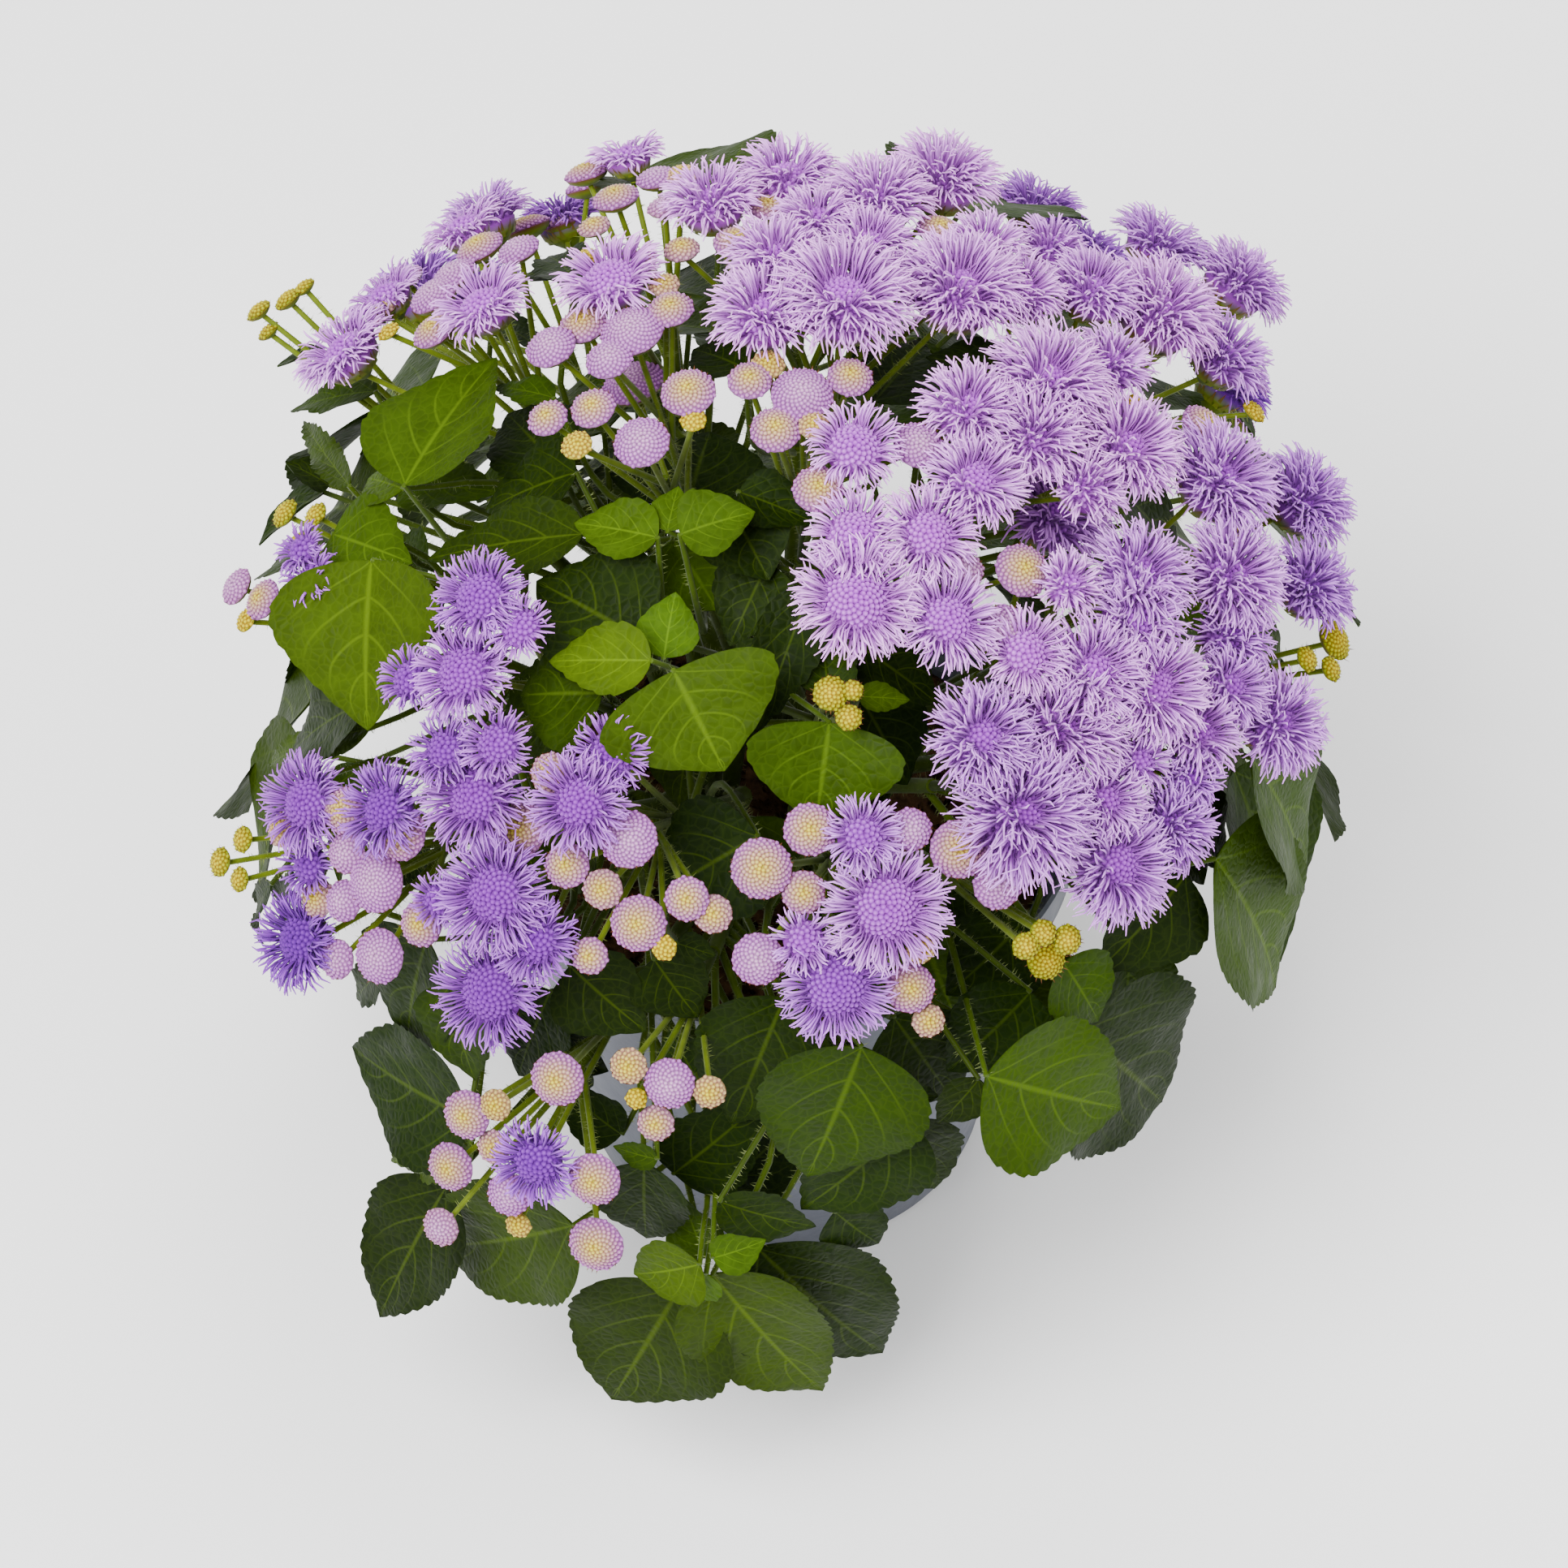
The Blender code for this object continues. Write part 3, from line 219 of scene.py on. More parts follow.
BLACK = np.zeros(3)
# The dark leaf green is partly the colour of old leaves and partly painted shade for leaves deep in the
# plant
OLD_SHADED_GREEN = linear(24, 36, 3)
YOUNG_GREEN = linear(68, 92, 2)
UNDER_GREEN = linear(48, 64, 22)
VEIN_GREEN = linear(46, 54, 14)
STEM_GREEN = linear(46, 58, 14)
STALK_GREEN = linear(62, 78, 12)
BRACT_GREEN = linear(92, 106, 22)
BRACT_BROWN = linear(100, 44, 44)
HAIR_COLOUR = linear(160, 170, 110)
YELLOW = linear(206, 198, 16)
LIME = linear(150, 164, 4)
CREAM = linear(212, 206, 48)
LILAC = linear(184, 118, 190)
PALE_LILAC = linear(206, 166, 196)
VIOLET = linear(98, 26, 156)
PALE_VIOLET = linear(154, 70, 208)
MAUVE = linear(186, 84, 212)
PALE_MAUVE = linear(240, 172, 252)
# Painted shade at each floret's foot, in the gaps between florets
FLORET_GAP_SHADE = np.array([0.34, 0.16, 0.40])
SHADED = np.array([0.66, 0.5, 0.78])

Head = namedtuple("Head", "kind across up wide")
Leaf = namedtuple("Leaf", "across up tip_across tip_up wide depth")
Piece = namedtuple("Piece", "owner part tree middle reach")


def opens(*places):
    """Open heads, each given by its place across and up and by its width."""
    return [Head("open", *place) for place in places]


def buds(*places):
    """Heads in bud, given likewise."""
    return [Head("bud", *place) for place in places]


# Flower heads of each spray, read off the view: across, up, width
SPRAYS = {
    "spray_left_top": opens((-67, 66, 15), (-46, 73, 14), (-61, 74.5, 12), (-49, 85, 12))
    + buds(
        (-47, 82.8, 7.6), (-41, 82.5, 6.6), (-51, 78.6, 7.2), (-58.5, 78, 6.2), (-54, 75.5, 8),
        (-54, 70, 7), (-62, 73.2, 5.6), (-61, 69.8, 3.6),
    ),
    "spray_top_left": opens((-24, 96, 11), (-26.5, 77, 15))
    + buds(
        (-30.5, 94.3, 7), (-19.5, 93.5, 6.6), (-26, 90.5, 7.2), (-18.5, 89, 5.2), (-29.3, 86, 5),
        (-15.8, 94, 5.5), (-21.5, 81.5, 3.6), (-30.5, 81.2, 4),
    ),
    "spray_upper_left": buds(
        (-23.5, 70, 9.4), (-31, 71, 7.4), (-36, 67.5, 7.6), (-17.5, 73.3, 6.8), (-18.5, 77, 4.6),
        (-27, 65.6, 7),
    ),
    "spray_stalked": buds(
        (-23.3, 62, 9.4), (-14.8, 60.5, 8), (-29.5, 58, 6.6), (-36.5, 56.5, 6), (-22, 52.8, 8.2),
        (-14, 56.2, 3.8), (-32, 52.3, 4.6),
    ),
    "spray_upper_middle": opens((10.8, 51.5, 13))
    + buds(
        (-5.3, 62.3, 6.4), (-2.5, 64.7, 5), (2.8, 60.2, 9), (-1.3, 54.7, 7.3), (4.6, 55.3, 4.5),
        (10.2, 62.8, 6.6), (20.8, 52.3, 7.4), (5.3, 45.5, 7.4),
    ),
    "spray_top_middle": opens((-11, 88.5, 13), (0.5, 92.5, 13), (14.5, 89, 14), (24, 92, 15))
    + buds((-7.3, 83.7, 7), (-15.8, 82.5, 5.4), (-2.5, 89, 6), (24, 85.5, 7)),
    "spray_upper_full": opens(
        (9, 73.5, 18), (-3, 71.5, 14), (-1.5, 80, 13), (26.5, 75, 17), (5, 86, 11), (13, 82, 12),
        (31, 82, 11), (18.5, 77, 9),
    ),
    "spray_top_right": opens(
        (36, 75, 12), (41, 82, 10), (47, 75, 13), (57, 82, 13), (57, 71.5, 17), (69, 76, 14), (67, 65, 13),
        (50, 64, 11),
    )
    + buds((65, 55, 8), (72.5, 57.5, 4), (54, 58.5, 3.6)),
    "spray_right_high": opens(
        (40, 61, 16), (38, 53, 14), (52, 51, 15), (28, 57, 13), (29, 46, 13), (46, 45.5, 11),
    ),
    "spray_middle": opens((11, 28, 17), (11, 38, 13), (22, 38, 14), (25, 25, 14), (37, 20, 12))
    + buds((28, 33, 5.4), (34, 24, 7.2), (36.8, 33, 8)),
    "spray_right_top": opens((66, 46, 16), (79, 43, 14), (80, 30, 13), (68, 31.5, 15))
    + buds((69, 38.5, 4)),
    "spray_right": opens(
        (41, 41, 15), (54, 31.5, 14), (53.5, 25, 13), (47, 17, 14), (56, 14.5, 15), (68, 22.5, 12),
        (68, 14.5, 11), (43.5, 30.5, 9),
    ),
    "spray_right_edge": opens((75, 9, 14), (63, 8, 12), (62, 1, 9), (54.5, 3.5, 8)),
    "spray_low_right": opens(
        (30, 7, 14), (42, 8.5, 17), (36, -4.5, 18), (50.5, -12.5, 15), (59, -6.5, 12), (49, -2.5, 11),
    )
    + buds((27, -10, 8.4), (33, -15.5, 7.2)),
    "spray_low_middle": opens((12, -8, 11), (15.5, -19, 17), (8, -31, 15), (3, -24, 9))
    + buds(
        (19.5, -7, 6.2), (4, -7, 7.5), (-3.5, -13, 8.7), (3, -16.7, 6.2), (-4, -27, 7.5),
        (19.5, -31.5, 7.2), (22.3, -36.5, 4.8), (21, -25.5, 4.2),
    ),
    "spray_left_high": opens(
        (-46.5, 28.5, 13), (-49, 17, 14), (-52, 5, 10), (-44, 6, 10), (-40.5, 24, 9), (-57.5, 16, 9),
    ),
    "spray_left_middle": opens(
        (-47, -2, 15), (-44, -17, 16), (-38, -24, 12), (-45, -32, 15), (-53, -18, 8),
    ),
    "spray_middle_left": opens((-26.5, 4.5, 11), (-31, -3, 14))
    + buds(
        (-41, -7, 8.4), (-36, 1.7, 6), (-24, -8.5, 8.3), (-33.5, -12.5, 6.6), (-28, -16.2, 5.8),
        (-22.5, -21.5, 8.1), (-30, -26.5, 5.4), (-18.5, -25.3, 3.6), (-15, -17.7, 6.4), (-11, -20, 5.6),
    ),
    "spray_left": opens((-73, -3, 14), (-61, -4, 13), (-74, -24, 14), (-73, -12.5, 9))
    + buds(
        (-68, -4, 7), (-59, -7.7, 7.8), (-77.5, -7, 5.2), (-63, -15, 9.2), (-67.5, -10.5, 6.4),
        (-72, -17.5, 6), (-68, -18, 6.2), (-69, -27, 6), (-62.5, -26.5, 8.2), (-56, -21.5, 6.8),
    ),
    "spray_left_edge": buds((-80.5, 28.5, 6.5), (-84.5, 30.5, 6), (-83, 25.3, 3.8))
    + opens((-72.5, 31.5, 9), (-74, 36, 8)),
    "spray_bottom_left": opens((-38, -58, 12))
    + buds(
        (-35, -45.5, 8), (-49, -51, 7.4), (-44.5, -49.5, 4.8), (-51.5, -59, 7.4), (-44.8, -56, 5.2),
        (-42.5, -63.3, 6.8), (-53, -68.3, 6), (-29.3, -61, 7.9), (-29, -71, 8.4), (-41, -68, 4),
    ),
    "spray_bottom": buds(
        (-17.7, -46.2, 7.4), (-24, -43.5, 5.4), (-11.5, -47.5, 4.8), (-19.8, -52.3, 5.4),
        (-22.8, -48.5, 3.2),
    ),
}

# Young green bud clusters that end a leafy shoot: across, up, width
YOUNG = {
    "tip_green_top_left": buds((-76.5, 74.8, 4.8), (-81, 73, 4.4), (-79.5, 69.8, 3.8), (-74, 76.6, 3.8)),
    "tip_green_left": buds((-77, 41.8, 4.8), (-72.3, 41.5, 4.2), (-75, 37.3, 3.6)),
    "tip_green_left_low": buds((-87, -12, 4.5), (-83.5, -8.5, 4), (-84, -14.7, 3.8)),
    "tip_green_middle": buds((7.2, 14, 5), (10, 10.3, 3.8), (10.6, 14.5, 3)),
    "tip_green_low_right": buds((40.5, -27, 6), (43.7, -24, 4.4), (40, -23, 4), (37.3, -25, 4)),
    "tip_green_right": buds((85, 22.3, 6.5), (80.7, 19.3, 4), (84.4, 17.8, 4)),
}

# Sprays on the side that the view doesn't show: angle round the dome, height angle
FAR_SPRAYS = {
    "spray_far_left": (128.0, 24.0),
    "spray_far_right": (52.0, 24.0),
}
FAR_HEADS = 8

# Leaves: base across and up, tip across and up, width, depth below the dome
LEAVES = [
    Leaf(*row)
    for row in (
        (-58.5, 46, -46.5, 67, 18, 4), (-58.8, 45.5, -65, 48, 7, 5), (-58.8, 45.8, -45.5, 46.5, 8, 6),
        (-63, 60.5, -77.2, 59.5, 6, 8), (-67, 46, -77, 58.5, 4, 8), (-70, 46, -76, 50, 6, 12),
        (-70.5, 66.5, -78, 65.5, 6, 9), (-32, 77.5, -37.5, 84.5, 7, 10), (-35, 78, -43, 79.7, 3, 12),
        (-45, 71.5, -37.5, 68.5, 4, 12), (-35.5, 59.5, -45.5, 62.5, 4, 8), (-35, 49, -43.5, 58.5, 11, 12),
        (-58, 58, -66, 52, 10, 16), (-69.5, 38.5, -59.3, 35.3, 11, 5), (-63.5, 34.5, -66.3, 9.5, 24, 3),
        (-71, 45, -81.5, 38.5, 10, 12), (-64, 13, -79.5, 6, 9, 10), (-64, 8.5, -84.3, 4.3, 5.5, 7),
        (-76, -1, -81.7, -5.6, 5, 12), (-32, 48, -47, 43.5, 10, 14), (-31, 38.5, -56.5, 36.5, 9, 8),
        (-21.5, 22, -38.5, 32, 15.5, 8), (-20.5, 19, -36.5, 19.5, 8.5, 3), (-28, 14, -45.5, 14.2, 18, 6),
        (-18.5, 19.5, -17, 29.5, 7.5, 3), (-17, 17.5, -9.5, 2.5, 21, 3), (-16, 38.5, -5, 42.5, 8.5, 5),
        (-19.5, 38, -32.5, 41, 7.5, 5), (-17, 37.5, -10.5, 27.5, 15, 4), (-18, 39, -16.5, 46, 5, 6),
        (-15, 42, -12, 55, 18, 14), (-7, 45, 4.3, 41.2, 7, 12), (-8, 42, -2.5, 32.3, 11, 11),
        (-2.5, 34, -8.5, 22, 9, 14), (4, 30, -4, 9, 7.5, 12), (-4, 22.5, -6, 6.5, 6, 14),
        (7, 9.5, 5, -6, 17, 5), (11.5, 13.5, 19.5, 13.2, 3.4, 7), (6.8, 14, 6, 22.5, 6.5, 8),
        (12, 13, 22, -4, 15, 17), (12, 21, 24, 13, 9, 19), (14, 59, 22, 69, 11, 13),
        (36, 62, 23, 67, 9, 12), (52, 45, 63, 35, 12, 16), (71.8, 24.8, 79, 16, 7.5, 8),
        (77, 13.5, 82, 6.5, 5, 10), (72, 4, 85.5, -14.6, 19, 5), (66.5, -11.5, 81.5, -32, 22, 4),
        (62, -14, 50, -29, 13, 12), (61, -3, 70.5, -11.5, 9, 13), (37, -21, 26, -33, 12.5, 12),
        (43, -27.5, 49.5, -37, 9.5, 7), (38, -32, 26, -45, 13, 14), (31.2, -45, 54, -51.5, 19, 4),
        (45, -38, 62, -51, 23, 9), (30, -45.5, 24, -53, 6, 9), (12, -40.5, 3.8, -62.4, 19, 6),
        (17, -36, 27, -50, 12, 10), (17, -47.5, 24, -48.5, 3.4, 12), (19.5, -52, 3, -67.5, 13.5, 9),
        (19.5, -52, 24, -64, 9.5, 12), (0, -33, -8.5, -54, 15, 8), (-4, -8, -19.5, -17, 14, 16),
        (-33, -28, -22, -38.5, 11, 12), (-20, -27, -13.5, -36.5, 9, 14),
        (-16.5, -24.5, -10.7, -26.5, 3.6, 11), (-36, -32, -42.5, -46, 11, 14),
        (-25, -54, -34.5, -47.5, 8, 11), (-14, -44.5, -17.5, -38.5, 7, 14), (-17, -60, -4, -50.5, 11, 15),
        (-10, -62.5, 3, -52, 10, 17), (-21.5, -58.5, -22, -72, 11, 9), (-19.5, -57.8, -26.5, -56.3, 3.4, 8),
        (-13, -74, -23.5, -76.5, 10, 3), (-12, -73, -15.5, -65.5, 7.5, 4), (-11, -73, -3.2, -71, 6, 4),
        (-12, -75.5, -14.5, -80.5, 5.5, 3), (-16, -77.5, -27.5, -97, 20, 6), (-11, -75.5, 6, -97, 17, 4),
        (-4, -71.5, 16, -91.5, 19, 8), (-10, -64.3, 4.8, -69.5, 7, 9), (8, -66, 15, -72, 8, 14),
        (-48.5, -51.5, -69, -42, 17, 8), (-55, -24, -60.5, -41, 15, 10), (-62, -29, -68, -33.7, 5, 14),
        (-51.5, -31, -49, -46.5, 9.5, 8), (-48, -55, -63.7, -60, 7, 6), (-52, -62, -64.5, -83, 14, 9),
        (-32.5, -68, -57, -74, 17, 6), (-79, -15.5, -85.7, -24.5, 3.6, 10), (-75.5, -14, -82, -23.2, 4, 12),
        (-60, -8, -53.5, -16.8, 7, 14), (70, 57, 73, 53.5, 4.5, 9), (-6, 64, -14, 68, 9, 15),
        (-38, -38, -28, -45, 9, 16), (24, -14, 33, -22, 9, 16),
    )
]

# Leaves that fill the far side, in rings: height angle, count, length, width
FAR_RINGS = [(-6.0, 7, 34.0, 27.0), (20.0, 6, 34.0, 27.0), (48.0, 4, 32.0, 25.0)]

# Leaves under the flowers, all round the dome, in spirals: count, depth, length, width
INNER_LEAVES = [(18, 19.0, 30.0, 25.0), (44, 28.0, 18.0, 14.0)]


def sight(across, up):
    """The direction from the viewer through a place on the view's plane."""
    return (VIEW_AIM + ACROSS * across + UPWARD * up - EYE).normalized()


def dome_level(point, depth):
    """1 on the dome sunk by a depth, less inside it, more outside."""
    wide = DOME_RADIUS - depth
    rise = DOME_RISE - depth
    above = max(0.0, point.z - DOME_BASE)
    below = max(0.0, SKIRT_FLOOR - point.z)
    return (point.x**2 + point.y**2) / wide**2 + above**2 / rise**2 + (below / SKIRT_FADE) ** 2


def on_dome(across, up, depth):
    """Where a line of sight meets the dome sunk by a depth, or comes nearest to it."""
    ray = sight(across, up)
    best = None
    for step in range(SIGHT_STEPS):
        point = EYE + ray * (VIEW_DISTANCE - 0.5 * SIGHT_STEPS + step)
        level = dome_level(point, depth)
        if level <= 1.0:
            return point
        if best is None or level < best[0]:
            best = (level, point)
    return best[1]


def dome_normal(point):
    """The direction straight out of the dome at a point."""
    above = max(0.0, point.z - DOME_BASE)
    out = Vector((point.x / DOME_RADIUS**2, point.y / DOME_RADIUS**2, above / DOME_RISE**2))
    return out.normalized()


def head_axis(point):
    """The way a head at a point faces: outward, and turned up toward the light."""
    out = dome_normal(point)
    return (out + UP * (0.55 - 0.35 * out.z)).normalized()


def around(angle, lift=0.0):
    """The direction at an angle round the upright axis and an angle above the level."""
    return Vector((cos(angle) * cos(lift), sin(angle) * cos(lift), sin(lift)))


def frame_along(axis):
    """Two directions square to an axis."""
    side = axis.cross(UP)
    if side.length < 0.05:
        side = Vector((1.0, 0.0, 0.0))
    side.normalize()
    return side, axis.cross(side).normalized()


def tube(points, low, high, sides=4):
    """A closed tube of flat sides along points, from one radius to another."""
    verts = []
    last = len(points) - 1
    for i, point in enumerate(points):
        ahead = points[min(i + 1, last)] - points[max(i - 1, 0)]
        side, other = frame_along(ahead.normalized())
        radius = low + (high - low) * i / last
        for k in range(sides):
            turn = 2.0 * pi * k / sides
            verts.append(point + (side * cos(turn) + other * sin(turn)) * radius)
    faces = []
    for i in range(last):
        for k in range(sides):
            a = i * sides + k
            b = i * sides + (k + 1) % sides
            faces.append((a, b, b + sides))
            faces.append((a, b + sides, a + sides))
    faces.append(tuple(reversed(range(sides))))
    faces.append(tuple(range(last * sides, len(verts))))
    return verts, faces


def carried(spokes, axis, way):
    """Directions square to an axis, swung with it until it points another way."""
    swing = axis.rotation_difference(way)
    return [swing @ spoke for spoke in spokes]


def spokes_round(axis, count, turn):
    """Directions spread evenly round an axis."""
    side, other = frame_along(axis)
    angles = [turn + 2.0 * pi * k / count for k in range(count)]
    return [side * cos(a) + other * sin(a) for a in angles]


def band(faces, first, second, count):
    """Faces of four corners between two rings of as many points."""
    for k in range(count):
        after = (k + 1) % count
        faces.append((first + k, first + after, second + after, second + k))


def stalked(foot, place, axis, rings, sides, turn):
    """A head of rings, each of a radius, a height and a crimp, drawn down into its stalk."""
    spokes = spokes_round(axis, sides, turn)
    half = sides // 2
    neck = place + axis * rings[0][1]
    way = (neck - foot).normalized()
    verts = [foot + spoke * RAY_RADIUS for spoke in carried(spokes[::2], axis, way)]
    verts += [neck + spoke * RAY_RADIUS for spoke in spokes[::2]]
    faces = [tuple(reversed(range(half)))]
    band(faces, 0, half, half)
    for radius, height, crimp in rings[1:-1]:
        for k, spoke in enumerate(spokes):
            verts.append(place + spoke * (radius * (1.0 + crimp * (-1) ** k)) + axis * height)
    verts.append(place + axis * rings[-1][1])
    start = 2 * half
    for k in range(half):
        low, low_after = half + k, half + (k + 1) % half
        a, b, c = start + 2 * k, start + 2 * k + 1, start + (2 * k + 2) % sides
        faces += [(low, b, a), (low, low_after, b), (low_after, c, b)]
    for ring in range(len(rings) - 3):
        band(faces, start + ring * sides, start + (ring + 1) * sides, sides)
    last = len(verts) - 1
    for k in range(sides):
        faces.append((last - sides + k, last - sides + (k + 1) % sides, last))
    return verts, faces


def bud(foot, place, axis, wide, turn):
    """A flower head in bud: a flat dome of packed florets on a green cup."""
    r = wide / 2.0
    rings = [(radius * r, height * r, crimp) for radius, height, crimp in BUD_RINGS]
    if wide < BUD_SHOULDERED:
        rings.pop(2)
    return stalked(foot, place, axis, rings, 8 if wide > BUD_ROUND else 6, turn)


def open_head(foot, place, axis, wide, turn):
    """An open head: a cup and a mound, each side of the mound drawn out to a spike."""
    r = wide / 2.0
    rings = OPEN_RINGS if wide >= OPEN_SHOULDERED else (*OPEN_RINGS[:2], OPEN_SHOULDER, OPEN_RINGS[-1])
    sides = 8 if wide > OPEN_ROUND else 6
    rings = [(radius * r, height * r, 0.0) for radius, height in rings]
    verts, faces = stalked(foot, place, axis, rings, sides, turn)
    spiked = []
    for index, face in enumerate(faces):
        if len(face) < 4 or index <= sides // 2:
            spiked.append(face)
            continue
        middle = sum((verts[i] for i in face), Vector()) / 4.0
        out = (middle - place).normalized()
        verts.append(place + out * r + axis * (SPIKE_RISE * r))
        for i in range(4):
            spiked.append((face[i], face[(i + 1) % 4], len(verts) - 1))
    return verts, spiked


def leaf_frame(base, tip, facing):
    """The directions along a leaf, out to its side and out of its face, and its length."""
    along = tip - base
    length = along.length
    along = along / length
    face = (facing - along * facing.dot(along)).normalized()
    return along, along.cross(face), face, length


def leaf_half_width(t):
    """A leaf's half width at a share of its length, as a share of its greatest."""
    return (t**0.42) * ((1.0 - t) ** 0.62) / SOLID_PEAK


def leaf(base, tip, facing, wide):
    """A toothed blade with a thick midrib and a thin edge, drawn down into its stalk."""
    along, side, face, length = leaf_frame(base, tip, facing)
    teeth = 7 if length > 14.0 else 5

    def surface(t, across):
        height = LEAF_FOLD * abs(across) - LEAF_SAG * length * t * t
        return base + along * (t * length) + side * across + face * height

    def edge(i, hand):
        t = (i + 0.7) / (teeth + 0.35)
        notch = 1.0 if i % 2 == 0 else 0.88
        return surface(t, hand * 0.5 * wide * leaf_half_width(t) * notch)

    spokes = [spoke * PETIOLE_RADIUS for spoke in (side, face, -side, -face)]
    verts = [point + spoke for point in (base - along * 0.3, base) for spoke in spokes]
    faces = [(3, 2, 1, 0)]
    band(faces, 0, 4, 4)
    lines = []
    for hand, neck in ((1.0, 4), (-1.0, 6)):
        lines.append([neck] + list(range(len(verts), len(verts) + teeth)))
        verts += [edge(i, hand) for i in range(teeth)]
    ribs = []
    for hand, neck in ((0.5, 5), (-0.5, 7)):
        ribs.append([neck, len(verts), len(verts) + 1])
        verts += [surface(t, 0.0) + face * (hand * LEAF_THICKNESS) for t in (0.3, 0.66)]
    verts.append(surface(1.0, 0.0))
    end = len(verts) - 1
    for k, line in enumerate(lines):
        for m, rib in enumerate(ribs):
            for tri in strip(line + [end], rib + [end]):
                faces.append(tri if k == m else tri[::-1])
    return verts, faces


def strip(line, rib):
    """Triangles between a leaf's edge and its midrib, which share their last point."""
    tris = []
    at = 0
    for k in range(len(rib) - 1):
        is_last = k + 2 == len(rib)
        goal = len(line) - 1 if is_last else round((k + 1) * (len(line) - 1) / (len(rib) - 0.5))
        while at < goal:
            tris.append((line[at], line[at + 1], rib[k]))
            at += 1
        if not is_last:
            tris.append((line[at], rib[k + 1], rib[k]))
    return tris


def swollen(shape, amount):
    """The same shape, grown outward from its middle by about an amount."""
    verts, faces = shape
    middle = sum(verts, Vector()) / len(verts)
    grown = []
    for v in verts:
        out = v - middle
        grown.append(v + out.normalized() * amount if out.length > 0.01 else v.copy())
    return grown, faces


def as_piece(owner, part, shape):
    """A placed shape, with what is needed to test it against others."""
    verts, faces = shape
    middle = sum(verts, Vector()) / len(verts)
    reach = max((v - middle).length for v in verts)
    return Piece(owner, part, BVHTree.FromPolygons(verts, faces), middle, reach)


def is_clear(shape, owner, placed, strict):
    """True if a shape, grown by the gap, meets nothing but the stem that carries it."""
    piece = as_piece(owner, "trial", swollen(shape, GAP))
    for other in placed:
        if other.owner == owner and (other.part == "stem" or not strict):
            continue
        if (other.middle - piece.middle).length > other.reach + piece.reach:
            continue
        if piece.tree.overlap(other.tree):
            return False
    return True


class Plant:
    """Where everything grows, worked out piece by piece so that nothing crosses."""

    def __init__(self):
        self.placed = []
        self.tips = {}
        self.forks = {}
        self.taken = set()
        self.drawn = []

    def draw(self, owner, kind, *args):
        """Note what a placed piece is drawn from."""
        self.drawn.append((owner, kind, args))

    def add(self, owner, **parts):
        """Keep the parts of a placed shape, to be tested against."""
        for part, outline in parts.items():
            self.placed.append(as_piece(owner, part, outline))

    def add_stem(self, owner, ends, radius, taper, sides):
        """Keep and draw a straight stem."""
        self.add(owner, stem=tube(ends, radius, radius * taper, sides))
        self.draw(owner, "stem", ends, radius, radius * taper)

    def clear(self, owner, strict, *shapes):
        """True if all the shapes fit among what is placed."""
        return all(is_clear(shape, owner, self.placed, strict) for shape in shapes)


def stem_root(index):
    """Where a main stem stands on the soil."""
    return around(radians(210.0 + 360.0 * index / STEM_COUNT)) * STEM_CIRCLE


def far_rows(angle, height, rng):
    """Heads for a spray on the far side: kind, place, line of sight and width."""
    rows = []
    for k in range(FAR_HEADS):
        turn = radians(angle + rng.uniform(-16.0, 16.0))
        lift = radians(height + rng.uniform(-14.0, 14.0))
        out = around(turn, lift)
        place = Vector((out.x * DOME_RADIUS, out.y * DOME_RADIUS, DOME_BASE + out.z * DOME_RISE))
        kind, widths = (("open", (12.0, 15.0)), ("bud", (6.0, 8.0)))[k % 2]
        rows.append((kind, place, -dome_normal(place), rng.uniform(*widths)))
    return rows


def place_pot_space(plant):
    """Keep the plant out of the pot."""
    ends = [-UP, UP * (POT_HEIGHT + GAP)]
    plant.add("pot", body=tube(ends, POT_ROOM * POT_BASE_RADIUS, POT_ROOM * POT_RIM_RADIUS, 16))


def branch_routes(fork, start, way):
    """Ways from a fork to a shoot's foot: straight, or bent up, down or to a side."""
    last = [start - way * BRANCH_RUN, start - way * GAP]
    middle = fork.lerp(last[0], 0.5)
    level = (last[0] - fork).cross(UP).normalized()
    routes = [[fork, *last]]
    for reach in BRANCH_BENDS:
        routes += [[fork, middle + bend * reach, *last] for bend in (UP, level)]
    return routes


def place_branch(plant, start, way):
    """A branch to one shoot, from the nearest main stem that reaches it clear."""
    order = sorted(range(STEM_COUNT), key=lambda k: (stem_root(k) * 4.0 - start).to_2d().length)
    for k in order:
        owner = f"stem_{k + 1}"
        fork = stem_root(k) + UP * BRANCH_FOOT
        for route in branch_routes(fork, start, way):
            short = route[:-1] + [route[-1] - way * (2.0 * GAP)]
            if plant.clear(owner, False, tube(short, BRANCH_RADIUS, BRANCH_RADIUS)):
                plant.add(owner, stem=tube(route, BRANCH_RADIUS, BRANCH_RADIUS))
                plant.draw(owner, "stem", route, BRANCH_RADIUS, BRANCH_RADIUS)
                return


def place_branches(plant):
    """The main stems and their branches, each ending just short of its shoot."""
    for k in range(STEM_COUNT):
        ends = [stem_root(k) + UP * z for z in (HOLE_FLOOR + GAP, TRUNK_TOP)]
        plant.add_stem(f"stem_{k + 1}", ends, STEM_RADIUS, STEM_TAPER, 8)
    for start, end in plant.tips.values():
        place_branch(plant, start, (end - start).normalized())


def shoot_of(name):
    """The leafy shoot that carries a spray or a tip."""
    return "shoot_" + name.split("_", 1)[1]


def place_shoots(plant, hubs):
    """A leafy shoot's stem toward each hub, ending a little short of it."""
    for name, hub in hubs.items():
        ends = (CORE.lerp(hub, BRANCH_REACH), CORE.lerp(hub, SHOOT_TIP))
        plant.tips[shoot_of(name)] = ends
        plant.add_stem(shoot_of(name), ends, SHOOT_RADIUS, SHOOT_TAPER, 5)


